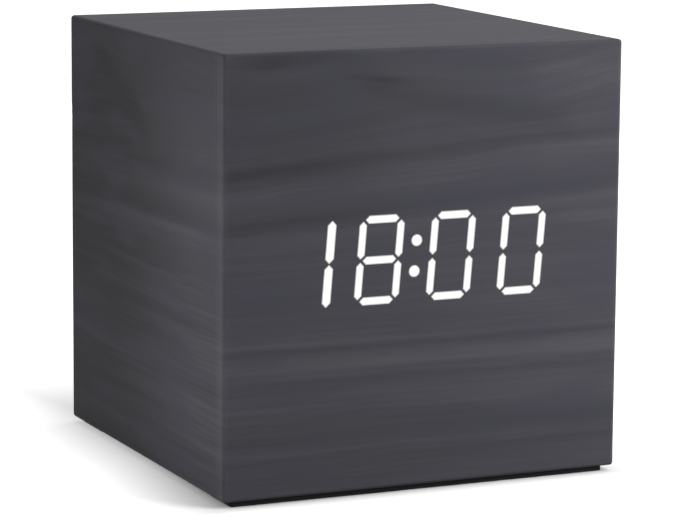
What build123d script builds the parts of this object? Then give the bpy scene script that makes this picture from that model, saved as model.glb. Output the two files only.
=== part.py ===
from build123d import *
import os
from math import radians, tan

os.makedirs("parts", exist_ok=True)

# Lengths are in millimetres. X runs to the right seen from the front, the
# front looks along -Y, and Z is up from the surface the clock stands on.

# Battery cells, AAA size, and the bay that holds them
CELL_LENGTH = 44.5
CELL_DIAMETER = 10.5
CELL_EDGE = 0.6
CELL_NUB_DIAMETER = 3.8
CELL_NUB_LENGTH = 1.0
CELL_SPACING = 0.5
CELL_CLEARANCE = 0.3
CELL_END_PLAY = 0.1
CONTACT_SHEET = 0.3
SPRING_ROOM = 3.9
BAY_WALL = 1.2
CONTACT_WIDTH = 8.0
CONTACT_DEPTH = 9.0
LEAF_WIDTH = 5.0
LEAF_SPAN = 7.0
LEAF_GAP = 0.05
LEAF_FREE = 0.4
TAB_WIDTH = 3.0
TAB_GAP = 0.2
TAB_REACH = 2.9
CRADLE_CLEARANCE = 0.15
CRADLE_HEIGHT = 3.5
CRADLE_THICKNESS = 1.2
CRADLE_OFFSET = 14.0

# Box: boards round the inside, a film over them, rubber strips under them
SIDE_MARGIN = 0.95
SCREW_STRIP = 5.4
BUTTON_STRIP = 13.3
BOARD = 3.0
FILM = 0.3
EDGE_ROUND = 0.5
FOOT_HEIGHT = 0.8
FOOT_WIDTH = 8.0
FOOT_INSET = 0.9
FOOT_END_INSET = 1.5
FOOT_CORNER = 0.4
BLOCK_WIDTH = 8.0
BLOCK_LENGTH = 10.0
BLOCK_GAP = 0.2

# Display: four leaning seven-bar digits with a colon between the pairs
TIME_SHOWN = "1800"
DISPLAY_X = -1.67
DISPLAY_LIFT = 1.56
DIGIT_PITCH = 10.85
COLUMN_SPACING = 5.66
ROW_SPACING = 5.6
SLANT = 4.55
BAR_WIDTH = 1.2
BAR_FLAT = 0.08
LEVEL_BAR_TIP = 0.29
UPRIGHT_BAR_TIP = 0.2
TENS_BAR_WIDTH = 1.38
TENS_BAR_TIP = 0.05
TENS_ROW_SPACING = 6.0
TENS_SHIFT = 0.54
TENS_DROP = 0.17
COLON_DIAMETER = 1.74
COLON_SPACING = 4.26
COLON_LIFT = 0.24
PATCH_GAP = 0.02
HOUSING_DEPTH = 7.5
HOUSING_MARGIN = 2.0
WINDOW_GAP = 0.2
DIFFUSER_DEPTH = 2.0
LED_LENGTH = 1.6
LED_WIDTH = 0.8
LED_HEIGHT = 0.7

# Main circuit board and what stands on it
PCB = 1.6
MAIN_BOARD_MARGIN = 1.7
MAIN_BOARD_END_MARGIN = 2.1
SPACER_INSET = 4.0
SPACER_DIAMETER = 5.0
CHIP_LENGTH = 12.8
CHIP_WIDTH = 7.5
CHIP_HEIGHT = 2.2
CHIP_STANDOFF = 0.2
CHIP_LEGS = 10
CHIP_LEG_PITCH = 1.27
CHIP_LEG_WIDTH = 0.42
CHIP_LEG_REACH = 1.4
CHIP_LEG_SHEET = 0.25
CRYSTAL_AT = (13.0, 3.0)
CRYSTAL_LENGTH = 8.0
CRYSTAL_DIAMETER = 3.0
CRYSTAL_STANDOFF = 0.05
CRYSTAL_LEAD = 0.4
CRYSTAL_LEAD_REACH = 1.8
BUZZER_AT = (-14.0, 11.0)
BUZZER_DIAMETER = 9.6
BUZZER_HEIGHT = 5.0
BUZZER_HOLE = 1.6
MICROPHONE_AT = (15.0, 13.0)
MICROPHONE_DIAMETER = 6.0
MICROPHONE_HEIGHT = 4.5
MICROPHONE_RIM = 0.7
CAPACITOR_AT = (-15.0, -11.0)
CAPACITOR_DIAMETER = 5.0
CAPACITOR_HEIGHT = 11.0
SENSOR_AT = (16.0, -11.0)
SENSOR_BEAD = 2.4
SENSOR_STANDOFF = 4.0
SENSOR_LEAD = 0.5
SENSOR_LEAD_PITCH = 1.4
CONNECTOR_WIDTH = 4.5
CONNECTOR_HEIGHT = 6.0
CONNECTOR_EDGE = 1.2
LEAD_PITCH = 2.5
BATTERY_CONNECTOR_AT = (0.0, -16.0)
BUTTON_CONNECTOR_AT = (2.0, 19.0)
LEAD_DIAMETER = 1.2
LEAD_BEND = 3.0
LEAD_RUN = 5.5
LEAD_SAG = 4.0
RIBBON_WIRES = 5
RIBBON_THICKNESS = 1.0
RIBBON_SAG = 7.0

# Rear cover, its battery door and its row of buttons
COVER_RECESS = 1.2
COVER_PLATE = 2.2
COVER_GAP = 0.2
COVER_CORNER = 1.0
COVER_EDGE = 0.3
MOUTH_CHAMFER = 0.4
DOOR_THICKNESS = 1.6
DOOR_GAP = 0.25
DOOR_SEAT = 0.1
DOOR_LEDGE = 0.75
DOOR_CORNER = 1.5
DOOR_EDGE = 0.3
HOOK_OFFSET = 12.0
HOOK_WIDTH = 5.0
HOOK_THICKNESS = 1.1
HOOK_REACH = 1.5
HOOK_CLEARANCE = 0.1
HOOK_RISE = 0.3
HOOK_SIDE_GAP = 0.4
HOOK_SWING_GAP = 0.8
TONGUE_WIDTH = 12.0
TONGUE_LENGTH = 7.0
TONGUE_SLIT = 0.8
RIDGE_LENGTH = 9.0
RIDGE_HEIGHT = 0.35
RIDGE_WIDTH = 0.8
RIDGE_PITCH = 2.0
RIDGE_COUNT = 3
SCOOP_WIDTH = 10.0
SCOOP_HEIGHT = 1.5
BUTTON_PITCH = 8.0
BUTTON_ROW_X = 5.0
BUTTON_DIAMETER = 4.4
BUTTON_HOLE_GAP = 0.2
BUTTON_PROUD = 0.7
BUTTON_EDGE = 0.4
BUTTON_FLANGE = 6.2
BUTTON_FLANGE_HEIGHT = 0.8
BUTTON_STEM = 2.6
BUTTON_STEM_LENGTH = 1.2
BUTTON_REST_GAP = 0.1
SWITCH_SIZE = 6.0
SWITCH_HEIGHT = 3.5
SWITCH_WELL = 2.5
PLUNGER_DIAMETER = 3.2
PLUNGER_LENGTH = 2.8
PLUNGER_PROUD = 1.3
PLUNGER_GAP = 0.15
BUTTON_BOARD_GAP = 0.75
BUTTON_BOARD_MARGIN = 0.9
BUTTON_ROW_RISE = 4.0
BOSS_DIAMETER = 3.4
JACK_SPACING = 10.4
JACK_SIZE = 6.4
JACK_BORE = 3.9
JACK_FLOOR = 1.2
JACK_MOUTH = 5.0
JACK_GAP = 0.2
JACK_PIN_DIAMETER = 1.3
JACK_PIN_LENGTH = 4.5
JACK_PIN_ROOT = 0.8
JACK_PIN_ROOT_DIAMETER = 0.9
SOUND_HOLE = 1.0
SOUND_HOLE_RING = 1.9
SOUND_HOLE_INSET = 5.5

# Screws, and the play round a shank in its hole
THREAD_PLAY = 0.03
THROUGH_PLAY = 0.2
HEAD_PLAY = 0.2
HEAD_SINK = 0.1
PILOT_EXTRA = 1.0
SCREW_SHANK = 2.2
SCREW_HEAD = 3.6
SCREW_HEAD_HEIGHT = 1.1
COVER_SCREW_GRIP = 6.5
BOARD_SCREW_GRIP = 2.2
SMALL_SCREW_SHANK = 1.7
SMALL_SCREW_HEAD = 3.2
SMALL_SCREW_GRIP = 3.5
SLOT_WIDTH = 0.5
SLOT_DEPTH = 0.6
SLOT_LENGTH_SHARE = 0.62

# The bay follows from the cells, and the box from the bay
CELL_PITCH = CELL_DIAMETER + CELL_SPACING
BAY_LENGTH = CELL_LENGTH + CELL_END_PLAY + SPRING_ROOM + 2 * CONTACT_SHEET
BAY_HEIGHT = 2 * CELL_PITCH + CELL_DIAMETER + 2 * CELL_CLEARANCE
BAY_LENGTH_OUT = BAY_LENGTH + 2 * BAY_WALL
BAY_HEIGHT_OUT = BAY_HEIGHT + 2 * BAY_WALL
ROOM_WIDTH = BAY_LENGTH_OUT + 2 * SIDE_MARGIN
ROOM_HEIGHT = SCREW_STRIP + BAY_HEIGHT_OUT + BUTTON_STRIP
CORE_WIDTH = ROOM_WIDTH + 2 * BOARD
CORE_HEIGHT = ROOM_HEIGHT + 2 * BOARD
BOX_WIDTH = CORE_WIDTH + 2 * FILM
BOX_HEIGHT = CORE_HEIGHT + 2 * FILM

# Heights
MID = FOOT_HEIGHT + BOX_HEIGHT / 2
ROOM_FLOOR = MID - ROOM_HEIGHT / 2
ROOM_CEILING = MID + ROOM_HEIGHT / 2
BAY_Z = ROOM_FLOOR + SCREW_STRIP + BAY_HEIGHT_OUT / 2
BAY_TOP = BAY_Z + BAY_HEIGHT_OUT / 2
BOTTOM_ROW = BAY_Z - CELL_PITCH
MIDDLE_ROW = BAY_Z
TOP_ROW = BAY_Z + CELL_PITCH
DISPLAY_Z = MID + DISPLAY_LIFT

# Depths, from the front to the back
FRONT = -BOX_WIDTH / 2
BACK = BOX_WIDTH / 2
CORE_FRONT = FRONT + FILM
ROOM_FRONT = CORE_FRONT + BOARD
PCB_FRONT = CORE_FRONT + HOUSING_DEPTH
PCB_REAR = PCB_FRONT + PCB
CONNECTOR_TOP = PCB_REAR + CONNECTOR_HEIGHT
COVER_FACE = BACK - COVER_RECESS
COVER_INNER = COVER_FACE - COVER_PLATE
DOOR_INNER = COVER_FACE - DOOR_THICKNESS
DOOR_LEDGE_Y = DOOR_INNER - DOOR_SEAT
CELL_Y = DOOR_INNER - CELL_CLEARANCE - CELL_DIAMETER / 2
BAY_FLOOR = CELL_Y - CELL_DIAMETER / 2 - CELL_CLEARANCE
TAB_END = BAY_FLOOR - BAY_WALL - TAB_REACH
SHEET_X = (BAY_LENGTH - CONTACT_SHEET) / 2
COVER_SCREW_SEAT = COVER_FACE - SCREW_HEAD_HEIGHT - HEAD_SINK

# Door, hooks and button row
POCKET_LENGTH = BAY_LENGTH + 2 * DOOR_LEDGE
POCKET_HEIGHT = BAY_HEIGHT + 2 * DOOR_LEDGE
POCKET_BOTTOM = BAY_Z - POCKET_HEIGHT / 2
POCKET_TOP = BAY_Z + POCKET_HEIGHT / 2
DOOR_LENGTH = POCKET_LENGTH - 2 * DOOR_GAP
DOOR_HEIGHT = POCKET_HEIGHT - 2 * DOOR_GAP
TONGUE_Z = BAY_Z + (DOOR_HEIGHT - TONGUE_LENGTH) / 2
HOOK_FACE = COVER_INNER - HOOK_CLEARANCE
HOOK_INNER = HOOK_FACE - HOOK_THICKNESS
FLANGE_FACE = COVER_INNER - BUTTON_REST_GAP
PLUNGER_TOP = FLANGE_FACE - BUTTON_FLANGE_HEIGHT - BUTTON_STEM_LENGTH
SWITCH_TOP = PLUNGER_TOP - PLUNGER_PROUD
BUTTON_BOARD_FACE = SWITCH_TOP - SWITCH_HEIGHT
BUTTON_BOARD_INNER = BUTTON_BOARD_FACE - PCB
BUTTON_BOARD_Z = (BAY_TOP + ROOM_CEILING) / 2
BUTTON_BOARD_HEIGHT = ROOM_CEILING - BAY_TOP - 2 * BUTTON_BOARD_GAP
BUTTON_Z = BUTTON_BOARD_Z - BUTTON_BOARD_HEIGHT / 2 + BUTTON_ROW_RISE
BOSS_Z = BUTTON_BOARD_Z + BUTTON_BOARD_HEIGHT / 2 - BOSS_DIAMETER / 2
BUTTON_BOARD_WIDTH = ROOM_WIDTH - 2 * (BLOCK_WIDTH + BUTTON_BOARD_MARGIN)
BUTTON_X = [BUTTON_ROW_X + BUTTON_PITCH * i for i in (-1, 0, 1)]
JACK_X = BUTTON_X[0] - JACK_SPACING
JACK_FACE = COVER_INNER - JACK_GAP
JACK_BORE_FLOOR = BUTTON_BOARD_FACE + JACK_FLOOR
BOSSES = [
    ((JACK_X + BUTTON_X[0]) / 2, BOSS_Z),
    ((BUTTON_X[1] + BUTTON_X[2]) / 2, BOSS_Z),
]

# Boards and screws
COVER_WIDTH = ROOM_WIDTH - 2 * COVER_GAP
COVER_HEIGHT = ROOM_HEIGHT - 2 * COVER_GAP
SOUND_HOLE_X = COVER_WIDTH / 2 - SOUND_HOLE_INSET
BLOCK_HEIGHT = SCREW_STRIP - BLOCK_GAP
BLOCKS = [
    (sx * (ROOM_WIDTH - BLOCK_WIDTH) / 2, MID + sz * (ROOM_HEIGHT - BLOCK_HEIGHT) / 2)
    for sx in (-1, 1)
    for sz in (-1, 1)
]
MAIN_BOARD_WIDTH = ROOM_WIDTH - 2 * MAIN_BOARD_MARGIN
MAIN_BOARD_HEIGHT = ROOM_HEIGHT - 2 * MAIN_BOARD_END_MARGIN
SPACERS = [
    (sx * (MAIN_BOARD_WIDTH / 2 - SPACER_INSET), MID + sz * (MAIN_BOARD_HEIGHT / 2 - SPACER_INSET))
    for sx in (-1, 1)
    for sz in (-1, 1)
]

# The bars of a digit: each end as a column and a row from the digit's centre
BARS = {
    "a": ((-1, 1), (1, 1)),
    "b": ((1, 0), (1, 1)),
    "c": ((1, -1), (1, 0)),
    "d": ((-1, -1), (1, -1)),
    "e": ((-1, -1), (-1, 0)),
    "f": ((-1, 0), (-1, 1)),
    "g": ((-1, 0), (1, 0)),
}
LIT_BARS = {
    "0": "abcdef",
    "1": "bc",
    "2": "abged",
    "3": "abgcd",
    "4": "fgbc",
    "5": "afgcd",
    "6": "afgedc",
    "7": "abc",
    "8": "abcdefg",
    "9": "abcdfg",
}
DIGIT_X = [DIGIT_PITCH * (i - 1.5) for i in range(4)]
ALL_BARS = [(digit, bar) for digit in range(4) for bar in BARS]
LIT = [(digit, bar) for digit in range(4) for bar in LIT_BARS[TIME_SHOWN[digit]]]
HOUSING_LENGTH = 3 * DIGIT_PITCH + COLUMN_SPACING + BAR_WIDTH + 2 * HOUSING_MARGIN
HOUSING_HEIGHT = 2 * ROW_SPACING + BAR_WIDTH + 2 * HOUSING_MARGIN


def upright(y):
    """The sketch plane at depth y: X across, Z up, extruding to the front."""
    return Plane.XZ.offset(-y)


def on_board(place):
    """A place given from the main board's centre, as X and Z."""
    return (place[0], MID + place[1])


def leaned(x, z):
    """A point of the upright display, leaned over by the digits' slant."""
    return (DISPLAY_X + x + z * tan(radians(SLANT)), DISPLAY_Z + z)


def bar_points(digit, bar, inset=0.0):
    """The eight corners of one bar, drawn in from its outline by inset."""
    long_bar = digit == 0 and bar in "bc"
    shift, drop = (TENS_SHIFT, TENS_DROP) if long_bar else (0, 0)
    reach = TENS_ROW_SPACING if long_bar else ROW_SPACING
    first, last = [
        Vector(DIGIT_X[digit] + shift + column * COLUMN_SPACING / 2, row * reach - drop)
        for column, row in BARS[bar]
    ]
    half = (TENS_BAR_WIDTH if long_bar else BAR_WIDTH) / 2 - inset
    flat = BAR_FLAT - inset * tan(radians(22.5))
    tip = LEVEL_BAR_TIP if bar in "adg" else UPRIGHT_BAR_TIP
    tip = (TENS_BAR_TIP if long_bar else tip) + inset
    shoulder = tip + half - flat
    along = (last - first).normalized()
    across = Vector(-along.Y, along.X)
    corners = [
        first + along * tip + across * flat,
        first + along * shoulder + across * half,
        last - along * shoulder + across * half,
        last - along * tip + across * flat,
        last - along * tip - across * flat,
        last - along * shoulder - across * half,
        first + along * shoulder - across * half,
        first + along * tip - across * flat,
    ]
    return [leaned(corner.X, corner.Y) for corner in corners]


def draw_display(bars, inset=0.0):
    """Draw the given bars and the colon in the sketch at hand."""
    for digit, bar in bars:
        Polygon(*bar_points(digit, bar, inset), align=None)
    for side in (-1, 1):
        with Locations(leaned(0, COLON_LIFT + side * COLON_SPACING / 2)):
            Circle(COLON_DIAMETER / 2 - inset)


def save(builder, name):
    """Name a piece and write it out."""
    builder.part.label = name
    export_step(builder.part, f"parts/{name}.step")


# Film round the box, with the lit bars cut out of its front
with BuildPart() as wood_film:
    with Locations((0, 0, MID)):
        Box(BOX_WIDTH, BOX_WIDTH, BOX_HEIGHT)
    fillet(wood_film.edges(), EDGE_ROUND)
    with Locations((0, 0, MID)):
        Box(CORE_WIDTH, CORE_WIDTH, CORE_HEIGHT, mode=Mode.SUBTRACT)
    with BuildSketch(upright(BACK)):
        with Locations((0, MID)):
            Rectangle(ROOM_WIDTH, ROOM_HEIGHT)
    extrude(amount=FILM, mode=Mode.SUBTRACT)
    with BuildSketch(upright(FRONT)):
        draw_display(LIT)
    extrude(amount=-FILM, mode=Mode.SUBTRACT)
save(wood_film, "wood_film")

# Patches of the film that the lit bars shine through
with BuildPart() as lit_segments:
    with BuildSketch(upright(FRONT)):
        draw_display(LIT, PATCH_GAP)
    extrude(amount=-FILM)
save(lit_segments, "lit_segments")

# Front board, mitred all round, with the display's window
with BuildPart() as front_board:
    with BuildSketch(upright(CORE_FRONT)):
        with Locations((0, MID)):
            Rectangle(CORE_WIDTH, CORE_HEIGHT)
    extrude(amount=-BOARD, taper=45)
    with BuildSketch(upright(CORE_FRONT)):
        with Locations((DISPLAY_X, DISPLAY_Z)):
            Rectangle(HOUSING_LENGTH + 2 * WINDOW_GAP, HOUSING_HEIGHT + 2 * WINDOW_GAP)
    extrude(amount=-BOARD, mode=Mode.SUBTRACT)
    with BuildSketch(upright(ROOM_FRONT)):
        with Locations(*SPACERS):
            Circle(SCREW_SHANK / 2 + THREAD_PLAY)
    extrude(amount=BOARD_SCREW_GRIP + THREAD_PLAY, mode=Mode.SUBTRACT)
save(front_board, "front_board")

# Four walls, each mitred to its neighbours and to the front
WALLS = {
    "top_board": ((1, 0, 0), ROOM_HEIGHT / 2, ROOM_WIDTH / 2),
    "right_board": ((0, 0, -1), ROOM_WIDTH / 2, ROOM_HEIGHT / 2),
    "bottom_board": ((-1, 0, 0), ROOM_HEIGHT / 2, ROOM_WIDTH / 2),
    "left_board": ((0, 0, 1), ROOM_WIDTH / 2, ROOM_HEIGHT / 2),
}
for wall_name, (wall_run, inner, half) in WALLS.items():
    with BuildPart() as wall:
        with BuildSketch(Plane((0, 0, MID), x_dir=(0, 1, 0), z_dir=wall_run)):
            Polygon(
                (CORE_FRONT, inner + BOARD),
                (ROOM_FRONT, inner),
                (BACK - FILM, inner),
                (BACK - FILM, inner + BOARD),
                align=None,
            )
        extrude(amount=half + BOARD, both=True)
        with BuildSketch(Plane((0, BACK, MID), x_dir=wall_run, z_dir=(0, -1, 0))):
            Polygon(
                (-half, inner),
                (half, inner),
                (half + BOARD, inner + BOARD),
                (-half - BOARD, inner + BOARD),
                align=None,
            )
        extrude(amount=BOX_WIDTH, mode=Mode.INTERSECT)
    save(wall, wall_name)

# Wooden blocks in the rear corners, which take the cover's screws
with BuildPart() as corner_blocks:
    with BuildSketch(upright(COVER_INNER)):
        with Locations(*BLOCKS):
            Rectangle(BLOCK_WIDTH, BLOCK_HEIGHT)
    extrude(amount=BLOCK_LENGTH)
    with BuildSketch(upright(COVER_INNER)):
        with Locations(*BLOCKS):
            Circle(SCREW_SHANK / 2 + THREAD_PLAY)
    extrude(amount=COVER_SCREW_GRIP + PILOT_EXTRA, mode=Mode.SUBTRACT)
save(corner_blocks, "corner_blocks")

# Rubber strips along the front and rear of the underside
with BuildPart() as foot_strips:
    with BuildSketch(Plane.XY):
        with GridLocations(0, BOX_WIDTH - 2 * FOOT_INSET - FOOT_WIDTH, 1, 2):
            RectangleRounded(BOX_WIDTH - 2 * FOOT_END_INSET, FOOT_WIDTH, FOOT_CORNER)
    extrude(amount=FOOT_HEIGHT)
save(foot_strips, "foot_strips")

# Display housing: a white block with a light well behind every bar
with BuildPart() as display_housing:
    with BuildSketch(upright(CORE_FRONT)):
        with Locations((DISPLAY_X, DISPLAY_Z)):
            Rectangle(HOUSING_LENGTH, HOUSING_HEIGHT)
    extrude(amount=-HOUSING_DEPTH)
    with BuildSketch(upright(CORE_FRONT)):
        draw_display(ALL_BARS)
    extrude(amount=-HOUSING_DEPTH, mode=Mode.SUBTRACT)
save(display_housing, "display_housing")

# Milky resin in the mouth of each well
with BuildPart() as segment_diffusers:
    with BuildSketch(upright(CORE_FRONT)):
        draw_display(ALL_BARS, PATCH_GAP)
    extrude(amount=-DIFFUSER_DEPTH)
save(segment_diffusers, "segment_diffusers")

# One LED chip at the foot of each well
with BuildPart() as led_chips:
    with BuildSketch(upright(PCB_FRONT)):
        for led_digit, led_bar in ALL_BARS:
            led_corners = bar_points(led_digit, led_bar)
            led_centre = (
                (led_corners[0][0] + led_corners[4][0]) / 2,
                (led_corners[0][1] + led_corners[4][1]) / 2,
            )
            with Locations(led_centre):
                if led_bar in "adg":
                    Rectangle(LED_LENGTH, LED_WIDTH)
                else:
                    Rectangle(LED_WIDTH, LED_LENGTH)
        for led_side in (-1, 1):
            with Locations(leaned(0, COLON_LIFT + led_side * COLON_SPACING / 2)):
                Rectangle(LED_WIDTH, LED_WIDTH)
    extrude(amount=LED_HEIGHT)
save(led_chips, "led_chips")

# Main circuit board behind the display
with BuildPart() as main_board:
    with BuildSketch(upright(PCB_FRONT)):
        with Locations((0, MID)):
            RectangleRounded(MAIN_BOARD_WIDTH, MAIN_BOARD_HEIGHT, COVER_CORNER)
        with Locations(*SPACERS):
            Circle(SCREW_SHANK / 2 + THROUGH_PLAY, mode=Mode.SUBTRACT)
    extrude(amount=-PCB)
save(main_board, "main_board")

# Spacer tubes between the front board and the main board
with BuildPart() as board_spacers:
    with BuildSketch(upright(ROOM_FRONT)):
        with Locations(*SPACERS):
            Circle(SPACER_DIAMETER / 2)
            Circle(SCREW_SHANK / 2 + THROUGH_PLAY, mode=Mode.SUBTRACT)
    extrude(amount=-(PCB_FRONT - ROOM_FRONT))
save(board_spacers, "board_spacers")


def save_screws(name, places, seat, length, shank, head, facing):
    """Pan-head screws seated at depth seat; facing is 1 for heads to the rear."""
    with BuildPart() as screws:
        with BuildSketch(upright(seat)):
            with Locations(*places):
                Circle(head / 2)
        extrude(amount=-facing * SCREW_HEAD_HEIGHT)
        head_top = seat + facing * SCREW_HEAD_HEIGHT
        rims = screws.edges().filter_by(GeomType.CIRCLE).filter_by_position(
            Axis.Y, head_top - 0.01, head_top + 0.01
        )
        fillet(rims, SCREW_HEAD_HEIGHT / 3)
        with BuildSketch(upright(seat)):
            with Locations(*places):
                Circle(shank / 2)
        extrude(amount=facing * length)
        with BuildSketch(upright(head_top)):
            with Locations(*places):
                Rectangle(head * SLOT_LENGTH_SHARE, SLOT_WIDTH)
                Rectangle(SLOT_WIDTH, head * SLOT_LENGTH_SHARE)
        extrude(amount=facing * SLOT_DEPTH, mode=Mode.SUBTRACT)
    save(screws, name)


# Screws through the main board and its spacers into the front board
save_screws(
    "board_screws",
    SPACERS,
    PCB_REAR,
    PCB_REAR - ROOM_FRONT + BOARD_SCREW_GRIP,
    SCREW_SHANK,
    SCREW_HEAD,
    1,
)

# Clock chip with its two rows of legs
with BuildPart() as controller_chip:
    with BuildSketch(upright(PCB_REAR + CHIP_STANDOFF)):
        with Locations(on_board((0, 0))):
            Rectangle(CHIP_LENGTH, CHIP_WIDTH)
    extrude(amount=-CHIP_HEIGHT)
    chip_waist = CHIP_STANDOFF + CHIP_HEIGHT / 2
    with BuildSketch(upright(PCB_REAR)):
        with Locations(on_board((0, 0))):
            with GridLocations(CHIP_LEG_PITCH, CHIP_WIDTH + CHIP_LEG_REACH, CHIP_LEGS, 2):
                Rectangle(CHIP_LEG_WIDTH, CHIP_LEG_REACH)
    extrude(amount=-CHIP_LEG_SHEET)
    with BuildSketch(upright(PCB_REAR)):
        with Locations(on_board((0, 0))):
            with GridLocations(CHIP_LEG_PITCH, CHIP_WIDTH + CHIP_LEG_SHEET, CHIP_LEGS, 2):
                Rectangle(CHIP_LEG_WIDTH, CHIP_LEG_SHEET)
    extrude(amount=-chip_waist)
save(controller_chip, "controller_chip")

# Timing crystal, lying along the board on its two leads
with BuildPart() as clock_crystal:
    crystal_x, crystal_z = on_board(CRYSTAL_AT)
    crystal_y = PCB_REAR + CRYSTAL_STANDOFF + CRYSTAL_DIAMETER / 2
    crystal_end = crystal_x + CRYSTAL_LENGTH / 2
    with BuildSketch(Plane.YZ.offset(crystal_end)):
        with Locations((crystal_y, crystal_z)):
            Circle(CRYSTAL_DIAMETER / 2)
    extrude(amount=-CRYSTAL_LENGTH)
    fillet(clock_crystal.edges().group_by(Axis.X)[0], CRYSTAL_DIAMETER / 8)
    with BuildSketch(Plane.YZ.offset(crystal_end)):
        with Locations((crystal_y, crystal_z)):
            with GridLocations(0, CRYSTAL_DIAMETER / 2, 1, 2):
                Rectangle(CRYSTAL_LEAD, CRYSTAL_LEAD)
    extrude(amount=CRYSTAL_LEAD_REACH)
    with BuildSketch(upright(PCB_REAR)):
        with Locations((crystal_end + CRYSTAL_LEAD_REACH - CRYSTAL_LEAD / 2, crystal_z)):
            with GridLocations(0, CRYSTAL_DIAMETER / 2, 1, 2):
                Rectangle(CRYSTAL_LEAD, CRYSTAL_LEAD)
    extrude(amount=-(crystal_y - PCB_REAR))
save(clock_crystal, "clock_crystal")

# Alarm buzzer with its sound hole
with BuildPart() as buzzer:
    with BuildSketch(upright(PCB_REAR)):
        with Locations(on_board(BUZZER_AT)):
            Circle(BUZZER_DIAMETER / 2)
    extrude(amount=-BUZZER_HEIGHT)
    with BuildSketch(upright(PCB_REAR + BUZZER_HEIGHT)):
        with Locations(on_board(BUZZER_AT)):
            Circle(BUZZER_HOLE / 2)
    extrude(amount=BUZZER_HEIGHT / 2, mode=Mode.SUBTRACT)
save(buzzer, "buzzer")

# Microphone capsule that wakes the display at a clap
with BuildPart() as microphone:
    with BuildSketch(upright(PCB_REAR)):
        with Locations(on_board(MICROPHONE_AT)):
            Circle(MICROPHONE_DIAMETER / 2)
    extrude(amount=-MICROPHONE_HEIGHT)
    with BuildSketch(upright(PCB_REAR + MICROPHONE_HEIGHT)):
        with Locations(on_board(MICROPHONE_AT)):
            Circle(MICROPHONE_DIAMETER / 2 - MICROPHONE_RIM)
    extrude(amount=MICROPHONE_RIM / 2, mode=Mode.SUBTRACT)
save(microphone, "microphone")

# Smoothing capacitor, standing on the board
with BuildPart() as capacitor:
    with BuildSketch(upright(PCB_REAR)):
        with Locations(on_board(CAPACITOR_AT)):
            Circle(CAPACITOR_DIAMETER / 2)
    extrude(amount=-CAPACITOR_HEIGHT)
    fillet(capacitor.edges().group_by(Axis.Y)[-1], CAPACITOR_DIAMETER / 10)
save(capacitor, "capacitor")

# Temperature sensor: a bead on two leads
with BuildPart() as temperature_sensor:
    with BuildSketch(upright(PCB_REAR)):
        with Locations(on_board(SENSOR_AT)):
            with GridLocations(SENSOR_LEAD_PITCH, 0, 2, 1):
                Circle(SENSOR_LEAD / 2)
    extrude(amount=-(SENSOR_STANDOFF + SENSOR_BEAD / 4))
    with BuildSketch(upright(PCB_REAR + SENSOR_STANDOFF)):
        with Locations(on_board(SENSOR_AT)):
            Circle(SENSOR_BEAD / 2)
    extrude(amount=-SENSOR_BEAD)
    fillet(temperature_sensor.edges().group_by(Axis.Y)[-1], SENSOR_BEAD / 4)
save(temperature_sensor, "temperature_sensor")


def save_connector(name, place, wires, wire_pitch):
    """A plug and its board socket, for a row of wires that leave to the rear."""
    with BuildPart() as connector:
        with BuildSketch(upright(PCB_REAR)):
            with Locations(on_board(place)):
                Rectangle(wires * wire_pitch + 2 * CONNECTOR_EDGE, CONNECTOR_WIDTH)
        extrude(amount=-CONNECTOR_HEIGHT * 2 / 3)
        with BuildSketch(upright(PCB_REAR)):
            with Locations(on_board(place)):
                Rectangle(wires * wire_pitch, CONNECTOR_WIDTH - CONNECTOR_EDGE)
        extrude(amount=-CONNECTOR_HEIGHT)
    save(connector, name)


# Connectors for the battery leads and for the button board's ribbon
save_connector("battery_connector", BATTERY_CONNECTOR_AT, 2, LEAD_PITCH)
save_connector("button_connector", BUTTON_CONNECTOR_AT, RIBBON_WIRES, RIBBON_THICKNESS)

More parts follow.
